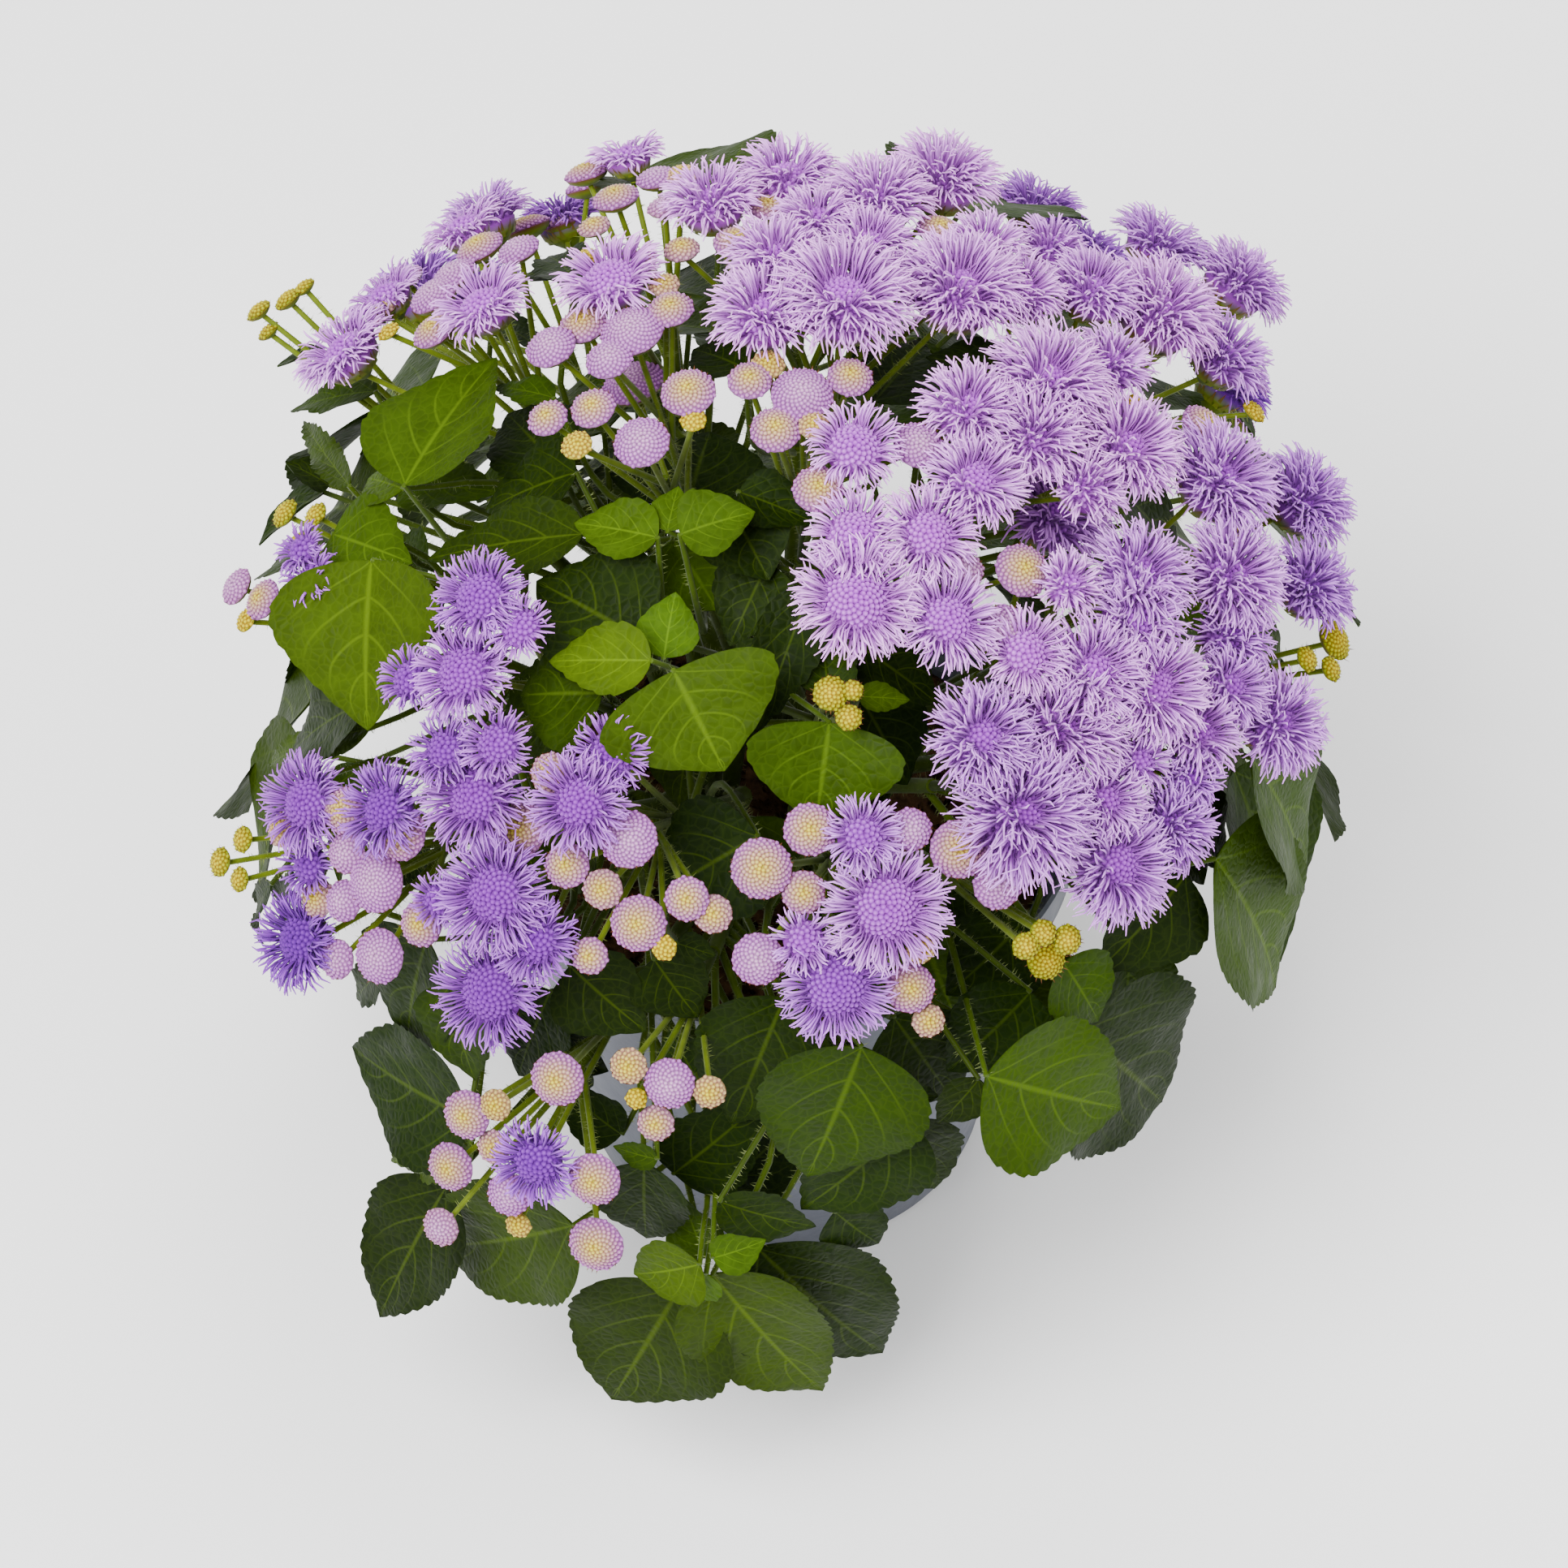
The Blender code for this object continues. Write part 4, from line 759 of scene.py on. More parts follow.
def place_peduncle(plant, name, hub):
    """A spray's main stalk, from its shoot's tip past its hub."""
    end = plant.tips[shoot_of(name)][1]
    way = (hub - end).normalized()
    foot = end + way * GAP
    top = hub + way * PEDUNCLE_REACH
    plant.add(name, stem=tube([foot, top], PEDUNCLE_RADIUS, PEDUNCLE_RADIUS * 0.9, 5))
    plant.draw(name, "stem", [foot, top], PEDUNCLE_RADIUS * 0.8, PEDUNCLE_RADIUS * 0.6)
    plant.forks[name] = (foot.lerp(top, 0.12), foot.lerp(top, 0.97))


def tries(small):
    """Slides to try in turn: at full size, at a small one, and at last through its own kin."""
    for strict, size in ((True, 1.0), (True, small), (False, small)):
        for step in range(SLIDES):
            yield strict, size, SLIDE_STEP * step


def stalk_room(points, radius):
    """A thin stalk's tube, thickened to keep its neighbours off."""
    return tube(points, TEST_GROWTH * radius, TEST_GROWTH * radius)


def place_head(plant, owner, row, share, turn):
    """One head with its stalk, slid away from the viewer until it is clear."""
    kind, place, ray, full = row
    low, high = plant.forks[owner]
    foot = low.lerp(high, share)
    make = open_head if kind == "open" else bud
    for strict, size, slide in tries(SMALL_HEAD):
        wide = full * size
        spot = place + ray * slide
        axis = head_axis(spot)
        neck = spot - axis * (NECK_SHARE * wide)
        body = make(neck - axis * 0.1, spot, axis, wide, turn)
        stalk = stalk_room([foot, neck - axis * 0.6], RAY_RADIUS)
        if plant.clear(owner, strict, body, stalk):
            plant.add(owner, body=body, stalk=stalk)
            plant.draw(owner, "head", kind, foot, spot, axis, wide, full, turn)
            return


def seen_rows(rows):
    """Kind, place, line of sight and width of each head that the view shows."""
    return [
        (row.kind, on_dome(row.across, row.up, 0.0), sight(row.across, row.up), row.wide)
        for row in rows
    ]


def place_heads(plant, owner, rows, rng):
    """All the heads of a spray or of a shoot's tip, with their stalks spaced along it."""
    for k, row in enumerate(rows):
        place_head(plant, owner, row, (k + 0.5) / len(rows), rng.uniform(0.0, 1.0))


def feet(plant, base, limit):
    """Places on the shoots' stems where a leaf's stalk may start, nearest first."""
    found = []
    for shoot, (start, end) in plant.tips.items():
        for share in FOOT_SHARES:
            if (shoot, share) not in plant.taken:
                foot = start.lerp(end, share)
                found.append(((foot - base).length, shoot, share, foot))
    found.sort(key=lambda item: item[0])
    return found[:limit]


def petioles(base, tip, foot):
    """Routes for a leaf's stalk from a foot on a stem: straight, or bent to a side."""
    side = (tip - base).cross(base - foot)
    side = side.normalized() if side.length > 0.01 else Vector((1.0, 0.0, 0.0))
    middle = foot.lerp(base, 0.55) - (tip - base).normalized() * 2.0
    return [[foot, base]] + [[foot, middle + side * bend, base] for bend in PETIOLE_BENDS]


def try_leaf(plant, low, far, wide, strict, youth_and_light):
    """Fit a leaf's blade and stalk between two points, on the nearest stem it can reach."""
    facing = dome_normal(low.lerp(far, 0.5)) + UP * 0.35
    blade = leaf(low, far, facing, wide)
    if not plant.clear("", True, blade):
        return False
    for _, shoot, share, foot in feet(plant, low, FEET_TRIED):
        for route in petioles(low, far, foot):
            ends = route[:-1] + [low.lerp(route[-2], 0.05)]
            stalk = stalk_room(ends, PETIOLE_RADIUS)
            if plant.clear(shoot, strict, stalk):
                plant.add(shoot, body=blade, stalk=stalk)
                plant.draw(shoot, "leaf", route, far, facing, wide, youth_and_light)
                plant.taken.add((shoot, share))
                return True
    return False


def place_leaf(plant, base, tip, wide, rays, youth_and_light):
    """One leaf, slid away from the viewer until it is clear."""
    for strict, size, slide in tries(SMALL_LEAF):
        low = base + rays[0] * slide
        far = low.lerp(tip + rays[1] * slide, size)
        if try_leaf(plant, low, far, wide * size, strict, youth_and_light):
            return


def place_seen_leaves(plant, rows):
    """The leaves that the view shows, each on its line of sight."""
    for row in rows:
        base = on_dome(row.across, row.up, row.depth)
        tip = on_dome(row.tip_across, row.tip_up, row.depth)
        rays = (sight(row.across, row.up), sight(row.tip_across, row.tip_up))
        # Leaves deeper under the dome get a darker green, as painted shade; wider, older leaves get darker
        # too
        youth_and_light = min(1.0, max(0.0, 1.15 - row.depth / 9.0 - row.wide / 60.0))
        place_leaf(plant, base, tip, row.wide, rays, youth_and_light)


def far_leaves(rng):
    """Leaves in rings round the far side: base, tip and width."""
    found = []
    for height, count, length, wide in FAR_RINGS:
        for k in range(count):
            turn = radians(8.0 + 164.0 * (k + rng.uniform(0.2, 0.8)) / count)
            lift = radians(height)
            out = around(turn, lift)
            out.z = 0.0
            base = out * (DOME_RADIUS - 14.0) + UP * (DOME_BASE + sin(lift) * DOME_RISE)
            fall = UP * (-1.0 + 0.8 * sin(lift))
            outward = around(turn)
            way = outward * 0.5 + fall * 0.8 + frame_along(outward)[0] * rng.uniform(-0.6, 0.6)
            found.append((base, base + way.normalized() * length, wide))
    return found


def inner_leaves(rng):
    """Leaves in spirals from the dome's top to its foot: base, tip and width."""
    found = []
    for count, depth, length, wide in INNER_LEAVES:
        for k in range(count):
            lift = asin(0.95 * (1.0 - (k + 0.5) / count))
            outward = around(k * LEAF_TURN)
            rise = DOME_BASE + sin(lift) * (DOME_RISE - depth)
            base = outward * (cos(lift) * (DOME_RADIUS - depth)) + UP * rise
            way = outward * (0.3 + 0.7 * sin(lift)) - UP * (0.75 * cos(lift))
            way += frame_along(outward)[0] * rng.uniform(-0.7, 0.7)
            found.append((base, base + way.normalized() * length, wide))
    return found


def grow():
    """Place every piece of the plant."""
    rng = random.Random(SEED)
    plant = Plant()
    groups = {name: seen_rows(rows) for name, rows in {**SPRAYS, **YOUNG}.items()}
    for name, (angle, height) in FAR_SPRAYS.items():
        groups[name] = far_rows(angle, height, rng)
    hubs = {}
    for name, rows in groups.items():
        middle = sum((row[1] for row in rows), Vector()) / len(rows)
        hubs[name] = middle - dome_normal(middle) * HUB_DEPTH
        hubs[name].z = max(hubs[name].z, HUB_LOWEST)
    place_shoots(plant, hubs)
    place_branches(plant)
    place_pot_space(plant)
    for name, hub in hubs.items():
        if name not in YOUNG:
            place_peduncle(plant, name, hub)
    place_seen_leaves(plant, [row for row in LEAVES if row.depth <= FRONT_DEPTH])
    for name, rows in groups.items():
        owner = name
        if name in YOUNG:
            owner = shoot_of(name)
            start, end = plant.tips[owner]
            plant.forks[owner] = (start.lerp(end, 0.75), start.lerp(end, 0.97))
        place_heads(plant, owner, rows, rng)
    place_seen_leaves(plant, [row for row in LEAVES if row.depth > FRONT_DEPTH])
    for base, tip, wide in far_leaves(rng) + inner_leaves(rng):
        inward = -dome_normal(base)
        # Leaves sunk inside the dome get a dark green: painted shade
        place_leaf(plant, base, tip, wide, (inward, inward), 0.2)
    return plant


def linked(name, data):
    """An object of the scene that shows a mesh, a light or a camera."""
    obj = bpy.data.objects.new(name, data)
    bpy.context.scene.collection.objects.link(obj)
    return obj


def aim_at_plant(obj, place):
    """Stand an object at a place, in metres, and turn it to the plant's middle."""
    obj.location = place
    obj.rotation_euler = (VIEW_AIM * MM - place).to_track_quat("-Z", "Y").to_euler()


def mesh_object(name, verts, faces):
    """A mesh object from points in millimetres, with its faces turned outward."""
    mesh = bpy.data.meshes.new(name)
    work = bmesh.new()
    made = [work.verts.new(v * MM) for v in verts]
    for face in faces:
        work.faces.new([made[i] for i in face])
    bmesh.ops.recalc_face_normals(work, faces=work.faces)
    work.to_mesh(mesh)
    work.free()
    return linked(name, mesh)


def bake(obj):
    """Turn an object's modifiers into plain mesh."""
    bpy.context.view_layer.update()
    graph = bpy.context.evaluated_depsgraph_get()
    mesh = bpy.data.meshes.new_from_object(obj.evaluated_get(graph))
    obj.modifiers.clear()
    obj.data = mesh


def drilled(obj, drill):
    """Cut another object out of one, and remove it."""
    change = obj.modifiers.new("drill", "BOOLEAN")
    change.operation = "DIFFERENCE"
    change.object = drill
    change.solver = "MANIFOLD"
    bake(obj)
    bpy.data.objects.remove(drill)


def turned(name, profile, steps):
    """A solid of revolution about the upright axis, from a profile of radius and height."""
    mesh = bpy.data.meshes.new(name)
    work = bmesh.new()
    made = [work.verts.new((radius * MM, 0.0, height * MM)) for radius, height in profile]
    for a, b in zip(made, made[1:]):
        work.edges.new((a, b))
    work.to_mesh(mesh)
    work.free()
    obj = linked(name, mesh)
    screw = obj.modifiers.new("turn", "SCREW")
    screw.axis = "Z"
    screw.steps = steps
    screw.render_steps = steps
    screw.use_merge_vertices = True
    screw.merge_threshold = 0.0001
    bake(obj)
    return obj


def inner_radius(height):
    """The pot's inner radius at a height."""
    share = height / (POT_HEIGHT - POT_LIP_DEPTH)
    return POT_BASE_RADIUS + (POT_SHOULDER_RADIUS - POT_BASE_RADIUS) * share - POT_WALL


def pot_profile():
    """The pot's cut, from its inside to its outside: radius and height."""
    lip_low = POT_HEIGHT - POT_LIP_DEPTH
    inside_rim = POT_RIM_RADIUS - POT_WALL
    inside = [(0.0, POT_FLOOR), (inner_radius(POT_FLOOR), POT_FLOOR), (inner_radius(lip_low), lip_low)]
    inside += [(inside_rim - 0.6, lip_low + POT_LIP_STEP), (inside_rim, POT_HEIGHT - 0.6)]
    inside += [(inside_rim + 0.5, POT_HEIGHT)]
    rim = [(-0.5, POT_HEIGHT), (0.0, POT_HEIGHT - 0.6), (-0.1, POT_HEIGHT - 1.8), (-0.5, POT_HEIGHT - 2.4)]
    rim += [(-0.6, lip_low + 0.5), (-1.0, lip_low)]
    side = [(POT_RIM_RADIUS + step, height) for step, height in rim]
    side += [(POT_SHOULDER_RADIUS + 0.2, lip_low)]
    foot = [(POT_BASE_RADIUS + step, height) for step, height in ((0.35, 2.5), (-0.2, 0.6), (-1.0, 0.0))]
    return inside + side + foot + [(0.0, 0.0)]


class Shape:
    """Points, faces, colours and leaf coordinates of one piece, gathered part by part."""

    def __init__(self):
        self.points = []
        self.tints = []
        self.maps = []
        self.loops = []
        self.sizes = []
        self.count = 0

    def add(self, points, faces, tints, maps=None):
        """Add points (n, 3), faces (m, corners) and colours, one or one for each point."""
        points = np.asarray(points, float).reshape(-1, 3)
        faces = np.asarray(faces, int)
        if np.ndim(tints) > 1:
            tints = tints.reshape(-1, 3)
        self.points.append(points)
        self.tints.append(np.broadcast_to(tints, points.shape))
        self.maps.append(np.zeros((len(points), 2)) if maps is None else maps)
        self.loops.append((faces + self.count).ravel())
        self.sizes.append(np.full(len(faces), faces.shape[1]))
        self.count += len(points)


def grid_faces(rows, columns, closed=False):
    """Faces of four corners between the rows of a grid of points."""
    row = np.arange(rows - 1)[:, None] * columns
    column = np.arange(columns if closed else columns - 1)[None, :]
    after = (column + 1) % columns
    corners = [row + column, row + after, row + columns + after, row + columns + column]
    return np.stack(corners, -1).reshape(-1, 4)


def unit(vectors):
    """The same vectors, each of length one."""
    return vectors / np.linalg.norm(vectors, axis=-1, keepdims=True)


def polar(radius, angle, height):
    """Points at a radius, an angle and a height."""
    return np.stack(np.broadcast_arrays(radius * np.cos(angle), radius * np.sin(angle), height), -1)


def blend(first, second, share):
    """A value between two others."""
    return first * (1.0 - share) + second * share


def held(number):
    """A number held from 0 to 1."""
    return float(np.clip(number, 0.0, 1.0))


def full_turn(count):
    """Angles spread evenly round a circle."""
    return np.linspace(0.0, 2.0 * pi, count, endpoint=False)


def smoothed(points, steps=4):
    """More points on a smooth curve through the given ones."""
    if len(points) < 3:
        return [points[0].lerp(points[-1], k / steps) for k in range(steps + 1)]
    padded = [points[0] * 2 - points[1], *points, points[-1] * 2 - points[-2]]
    found = []
    for i in range(1, len(padded) - 2):
        a, b, c, d = padded[i - 1 : i + 3]
        for k in range(steps):
            t = k / steps
            lift = (2 * a - 5 * b + 4 * c - d) * t * t + (3 * b - a - 3 * c + d) * t**3
            found.append(0.5 * (2 * b + (c - a) * t + lift))
    return found + [points[-1]]


def close_end(shape, ring, tip, tints, outward):
    """A blunt cap over a ring of points; outward gives the way that its faces turn."""
    count = len(ring)
    fan = np.array([(k, (k + 1) % count, count) for k in range(count)])
    shape.add(np.vstack([ring, tip]), fan if outward else fan[:, ::-1], tints)


def fine_tube(shape, points, low, high, tints, rng, sides=7):
    """A smooth stalk that tapers from one radius to another, with short hairs."""
    line = smoothed(points)
    ways = [(b - a).normalized() for a, b in zip(line, line[1:])]
    ways.append(ways[-1])
    spokes = spokes_round(ways[0], sides, 0.0)
    rings = []
    for i, (point, before, way) in enumerate(zip(line, [ways[0], *ways[:-1]], ways)):
        spokes = carried(spokes, before, way)
        radius = low + (high - low) * i / (len(line) - 1)
        rings.append([point + spoke * radius for spoke in spokes])
    shares = np.linspace(0.0, 1.0, len(line))[:, None, None] * np.ones((1, sides, 1))
    shape.add(rings, grid_faces(len(rings), sides, True), blend(*tints, shares))
    close_end(shape, rings[0], line[0] - ways[0] * (0.4 * low), tints[0], False)
    close_end(shape, rings[-1], line[-1] + ways[-1] * (0.4 * high), tints[1], True)
    add_hairs(shape, np.array(rings), np.array(line), tints[1], rng)


def add_hairs(shape, rings, line, tint, rng):
    """Short fine hairs that stand out of a stalk."""
    count = int(np.linalg.norm(line[1:] - line[:-1], axis=1).sum() / HAIR_STEP)
    if not count:
        return
    ring = rng.integers(0, len(rings) - 1, count)
    side = rng.integers(0, rings.shape[1], count)
    share = rng.random((count, 1))
    foot = blend(rings[ring, side], rings[ring + 1, side], share)
    out = unit(foot - blend(line[ring], line[ring + 1], share))
    way = unit(line[ring + 1] - line[ring])
    lean = rng.uniform(-0.3, 0.5, (count, 1))
    tip = foot + (out + way * lean) * rng.uniform(0.5, 1.0, (count, 1)) * HAIR_LENGTH
    points = np.stack([foot - way * HAIR_RADIUS, foot + way * HAIR_RADIUS, tip], 1)
    shape.add(points, np.arange(3 * count).reshape(-1, 3), blend(tint, HAIR_COLOUR, 0.4))


def leaf_colour(youth_and_light, rng):
    """A leaf's colour, from deep green, partly older leaves and partly painted shade deep in the plant, to
    young yellow-green.
    """
    colour = blend(OLD_SHADED_GREEN, YOUNG_GREEN, youth_and_light) * rng.uniform(0.85, 1.15)
    return colour * np.array([rng.uniform(0.9, 1.1), 1.0, rng.uniform(0.8, 1.2)])


def leaf_edge(t, length, teeth):
    """How far the teeth push a leaf's edge out at shares of its length."""
    phase = (t * teeth + 1e-6) % 1.0
    fade = np.clip((t - 0.1) / 0.15, 0.0, 1.0) * np.clip((1.0 - t) / 0.05, 0.0, 1.0)
    return TOOTH_DEPTH * fade * (phase**0.6 - 0.55) * min(1.0, length / 18.0)


def fine_leaf(shape, route, tip, facing, wide, youth_and_light, rng):
    """A thin toothed blade with its veins' relief, on the same frame as its solid."""
    base = route[-1]
    along, side, face, length = leaf_frame(base, tip, facing)
    teeth = max(5, round(length / TOOTH_STEP))
    t = np.sort(np.append(np.linspace(0.0, 1.0, TOOTH_ROWS * teeth + 1), (0.003, 0.01)))[:, None]
    s = np.linspace(-1.0, 1.0, LEAF_COLUMNS)[None, :]
    t, s = np.broadcast_arrays(t, s)
    middle = np.abs(s)
    widening = LEAF_GROWTH + DARK_GROWTH * (1.0 - youth_and_light)
    half = 0.5 * widening * wide * t**0.5 * (1.0 - t) ** 1.02 / BLADE_PEAK
    x = s * half + np.sign(s) * middle**3 * leaf_edge(t, length, teeth)
    pairs = (t - VEIN_SWEEP * middle**VEIN_CURVE) / VEIN_STEP
    puff = np.abs(np.sin(pi * pairs)) * np.sqrt(middle) * (1.0 - middle**4)
    fold = LEAF_FOLD * (np.sqrt(x**2 + 0.36) - 0.6)
    wave = np.sin(2.0 * pi * (1.6 * t + rng.random()) + s) * s**2 * np.sin(pi * t)
    z = fold + length * (LEAF_PUFF * puff + LEAF_WAVE * wave - LEAF_SAG * t**2)
    local = np.stack([LEAF_REACH * length * t, x, z], -1)
    axes = np.array([along, side, face])
    grid = np.array(base) + local @ axes
    under = grid - (BLADE_THICKNESS * (1.0 - s**8))[..., None] * axes[2]
    maps = np.stack([t, 0.5 + 0.5 * s], -1).reshape(-1, 2)
    faces = grid_faces(len(t), LEAF_COLUMNS)
    # Lower leaves darker: partly older leaves, partly painted shade
    height_share = held((base.z - SHADE_HEIGHT_FLOOR) / SHADE_HEIGHT_SPAN)
    colour = leaf_colour(youth_and_light, rng) * blend(LOW_SHADE, 1.0, height_share)
    shape.add(grid, faces, colour * (1.0 - 0.18 * middle**3)[..., None], maps)
    shape.add(under, faces[:, ::-1], blend(colour, UNDER_GREEN, 0.25), maps)
    return colour


def spiral(count, radius):
    """Points packed in a spiral on a disc: radius and angle of each."""
    order = np.arange(count)
    return radius * np.sqrt((order + 0.5) / count), order * GOLDEN_TURN


class Seat:
    """A head's place and directions, which carry its own points to the plant's."""

    def __init__(self, spot, axis, turn):
        side, other = frame_along(axis)
        across = side * cos(turn) + other * sin(turn)
        self.matrix = np.array([across, axis.cross(across), axis])
        self.spot = np.array(spot)

    def carry(self, points):
        """Points of the head's own space, in the plant's."""
        return points.reshape(-1, 3) @ self.matrix + self.spot


def lathe(shape, profile, tints, seat, sides=18):
    """A smooth surface turned about a head's axis."""
    radius, height = np.array(profile).T[:, :, None]
    points = polar(radius, full_turn(sides), height)
    colours = np.repeat(np.array(tints), sides, axis=0)
    shape.add(seat.carry(points), grid_faces(len(profile), sides, True), colours)


def add_florets(shape, radius, level, count, rise, inner, outer, seat):
    """Packed floret tips on a mound, each a small pointed dome that is pale on top, its foot darkened with
    painted shade in the gaps between florets.
    """
    far, turn = spiral(count, radius * 0.97)
    cell = 1.02 * radius * sqrt(pi / count) * 0.62
    height = level(far)
    slope = (level(far + 0.1) - height) / 0.1
    normal = unit(polar(-slope, turn, 1.0))
    centre = polar(far, turn, height)
    first = np.stack([-np.sin(turn), np.cos(turn), 0 * turn], -1)
    second = np.cross(normal, first)
    angles = full_turn(FLORET_SIDES)[None, :, None]
    ring = centre[:, None] + cell * (first[:, None] * np.cos(angles) + second[:, None] * np.sin(angles))
    ring -= normal[:, None] * 0.15 * cell
    top = centre + normal * (rise * cell)
    pale = blend(inner, outer, (far / radius)[:, None] ** 1.2)
    # Each floret's foot ring is darkened: painted shade in the gaps
    edges = np.repeat((pale * FLORET_GAP_SHADE)[:, None], FLORET_SIDES, 1)
    colours = np.concatenate([edges, pale[:, None]], 1)
    start = (np.arange(count) * (FLORET_SIDES + 1))[:, None]
    k = np.arange(FLORET_SIDES)
    faces = np.stack([start + k, start + (k + 1) % FLORET_SIDES, start + FLORET_SIDES + 0 * k], -1)
    shape.add(seat.carry(np.concatenate([ring, top[:, None]], 1)), faces.reshape(-1, 3), colours)


def add_bracts(shape, radius, drop, flare, count, seat, rng):
    """Narrow pointed bracts up the outside of a head's cup."""
    turn = full_turn(count) + rng.uniform(-0.1, 0.1, count)
    reach = radius * rng.uniform(0.96, 1.0 + flare, count)
    lift = radius * rng.uniform(-0.06, 0.08 + 0.5 * flare, count)
    half = pi / count
    foot = 0.72 * radius
    corners = [polar(foot, turn - half, -drop), polar(foot, turn + half, -drop), polar(reach, turn, lift)]
    colours = np.tile([BRACT_GREEN, BRACT_GREEN, BRACT_BROWN], (count, 1))
    shape.add(seat.carry(np.stack(corners, 1)), np.arange(3 * count).reshape(-1, 3), colours)


def fine_bud(florets, green, seat, wide, young, rng):
    """A head in bud: packed florets, cream within and lilac at the rim, on a cup of bracts."""
    r = 0.5 * wide
    ripe = held((wide - 4.2) / 1.8 + rng.uniform(-0.3, 0.3))
    inner = blend(YELLOW, CREAM, ripe)
    outer = blend(YELLOW, LILAC, ripe)
    if young:
        inner, outer = YELLOW, LIME
    elif ripe > 0.75 and rng.random() < 0.4:
        inner = PALE_LILAC

    def level(far):
        return r * (0.33 - 0.41 * np.minimum(far / r, 1.1) ** 2.4)

    profile = [(r * k, float(level(r * k)) - 0.2) for k in (0.98, 0.8, 0.55, 0.3, 0.01)]
    # The mound under the florets is darkened: painted shade between them
    lathe(florets, profile, [outer * 0.5, outer * 0.6, inner * 0.6, inner * 0.7, inner * 0.7], seat)
    add_florets(florets, r, level, max(18, int(BUD_PACKING * r * r)), 0.6, inner, outer, seat)
    cup = [(a * r, b * r) for a, b in BUD_CUP]
    lathe(green, cup, [BRACT_BROWN, BRACT_GREEN, BRACT_GREEN, STALK_GREEN], seat)
    add_bracts(green, r, 0.3 * r, 0.22 if young else 0.06, 26, seat, rng)


def fine_open(florets, green, seat, wide, bloom, hue, shade, rng):
    """An open head: florets on a mound, and a burst of long soft styles."""
    r = 0.5 * wide
    disc = DISC_SHARE * r
    base = blend(VIOLET, MAUVE, hue) * shade
    pale = blend(PALE_VIOLET, PALE_MAUVE, hue) * shade

    def level(far):
        return r * (0.06 + 0.26 * (1.0 - np.minimum(far / disc, 1.1) ** 2))

    profile = [(a * r, b * r) for a, b in OPEN_CUP]
    profile += [(disc * k, float(level(disc * k)) - 0.2) for k in (0.75, 0.45, 0.02)]
    # The cup's rim and the mound under the florets are darkened: painted shade between them
    tints = [STALK_GREEN, BRACT_GREEN, base * 0.5] + [base * 0.55] * 4
    lathe(florets, profile, tints, seat)
    count = max(20, int(DISC_PACKING * disc * disc))
    add_florets(florets, disc, level, count, 0.8, base, blend(base, pale, 0.45), seat)
    add_bracts(green, 0.6 * r, 0.3 * r, 0.1, 22, seat, rng)
    add_styles(florets, r, disc, level, bloom, base, pale, seat, rng)


def add_styles(shape, r, disc, level, bloom, base, pale, seat, rng):
    """The long styles of an open head, each a curved and tapered three-sided strand."""
    count = int(STYLES * r * r * (0.45 + 0.55 * bloom))
    share = np.sqrt(rng.uniform(1.0 - bloom, 1.0, count)) * rng.uniform(0.94, 1.06, count)
    turn = np.arange(count) * GOLDEN_TURN + rng.normal(0.0, 0.1, count)
    lean = np.radians(8.0 + 88.0 * share**1.3 + rng.normal(0.0, 8.0, count))
    reach = r * rng.uniform(0.84, 1.06, count)
    up = np.array([0.0, 0.0, 1.0])
    foot = polar(disc * share, turn, level(disc * share) - 0.3)
    tip = polar(reach * np.sin(lean), turn, reach * (0.12 + 0.74 * np.cos(lean)))
    swerve = np.cross(up, polar(1.0, turn, 0.0)) * rng.normal(0.0, 0.07 * r, count)[:, None]
    bend = up * (0.10 * r) + swerve
    along = unit(tip - foot)
    first = unit(np.cross(along, up + 0.01))
    second = np.cross(along, first)
    rings = []
    colours = []
    spin = rng.uniform(0.0, 2.0, count)
    for t, radius, paleness_and_light in STYLE_RINGS:
        middle = blend(foot, tip, t) + bend * (4.0 * t * (1.0 - t))
        for k in range(3):
            a = (spin + 2.0 * pi * k / 3.0)[:, None]
            rings.append(middle + (first * np.cos(a) + second * np.sin(a)) * radius)
            # Paler toward the tip; the factor darkens the foot as painted shade deep in the head
            colours.append(np.broadcast_to(blend(base, pale, paleness_and_light) * (0.6 + 0.4 * paleness_and_light), middle.shape))
    light = rng.uniform(0.86, 1.12, (count, 1, 1))
    one = grid_faces(len(STYLE_RINGS), 3, True)
    faces = (np.arange(count)[:, None, None] * len(rings) + one[None]).reshape(-1, 4)
    shape.add(seat.carry(np.stack(rings, 1)), faces, np.stack(colours, 1) * light)


def draw_head(shapes, owner, kind, foot, spot, axis, wide, full, turn, rng):
    """One flower head with its stalk."""
    florets = shapes[owner, "floret"]
    green = shapes[owner, "stalk"]
    neck = spot - axis * (FINE_NECK * wide)
    fine_tube(green, [foot, neck], STALK_START, STALK_END, (STALK_GREEN, BRACT_GREEN), rng)
    seat = Seat(spot, axis, turn)
    wide = max(wide, full)
    if kind == "bud":
        fine_bud(florets, green, seat, wide, owner.startswith("shoot"), rng)
        return
    is_full = owner in FULL_SPRAYS
    bloom = rng.uniform(*(FULL_BLOOM if is_full else PART_BLOOM))
    hue = held((spot.z - HUE_FLOOR) / HUE_SPAN + rng.uniform(-0.15, 0.15))
    growth = FULL_GROWTH if is_full else STYLE_GROWTH
    shade = SHADED if owner in SHADED_SPRAYS else 1.0
    fine_open(florets, green, seat, wide * growth, bloom, hue, shade, rng)


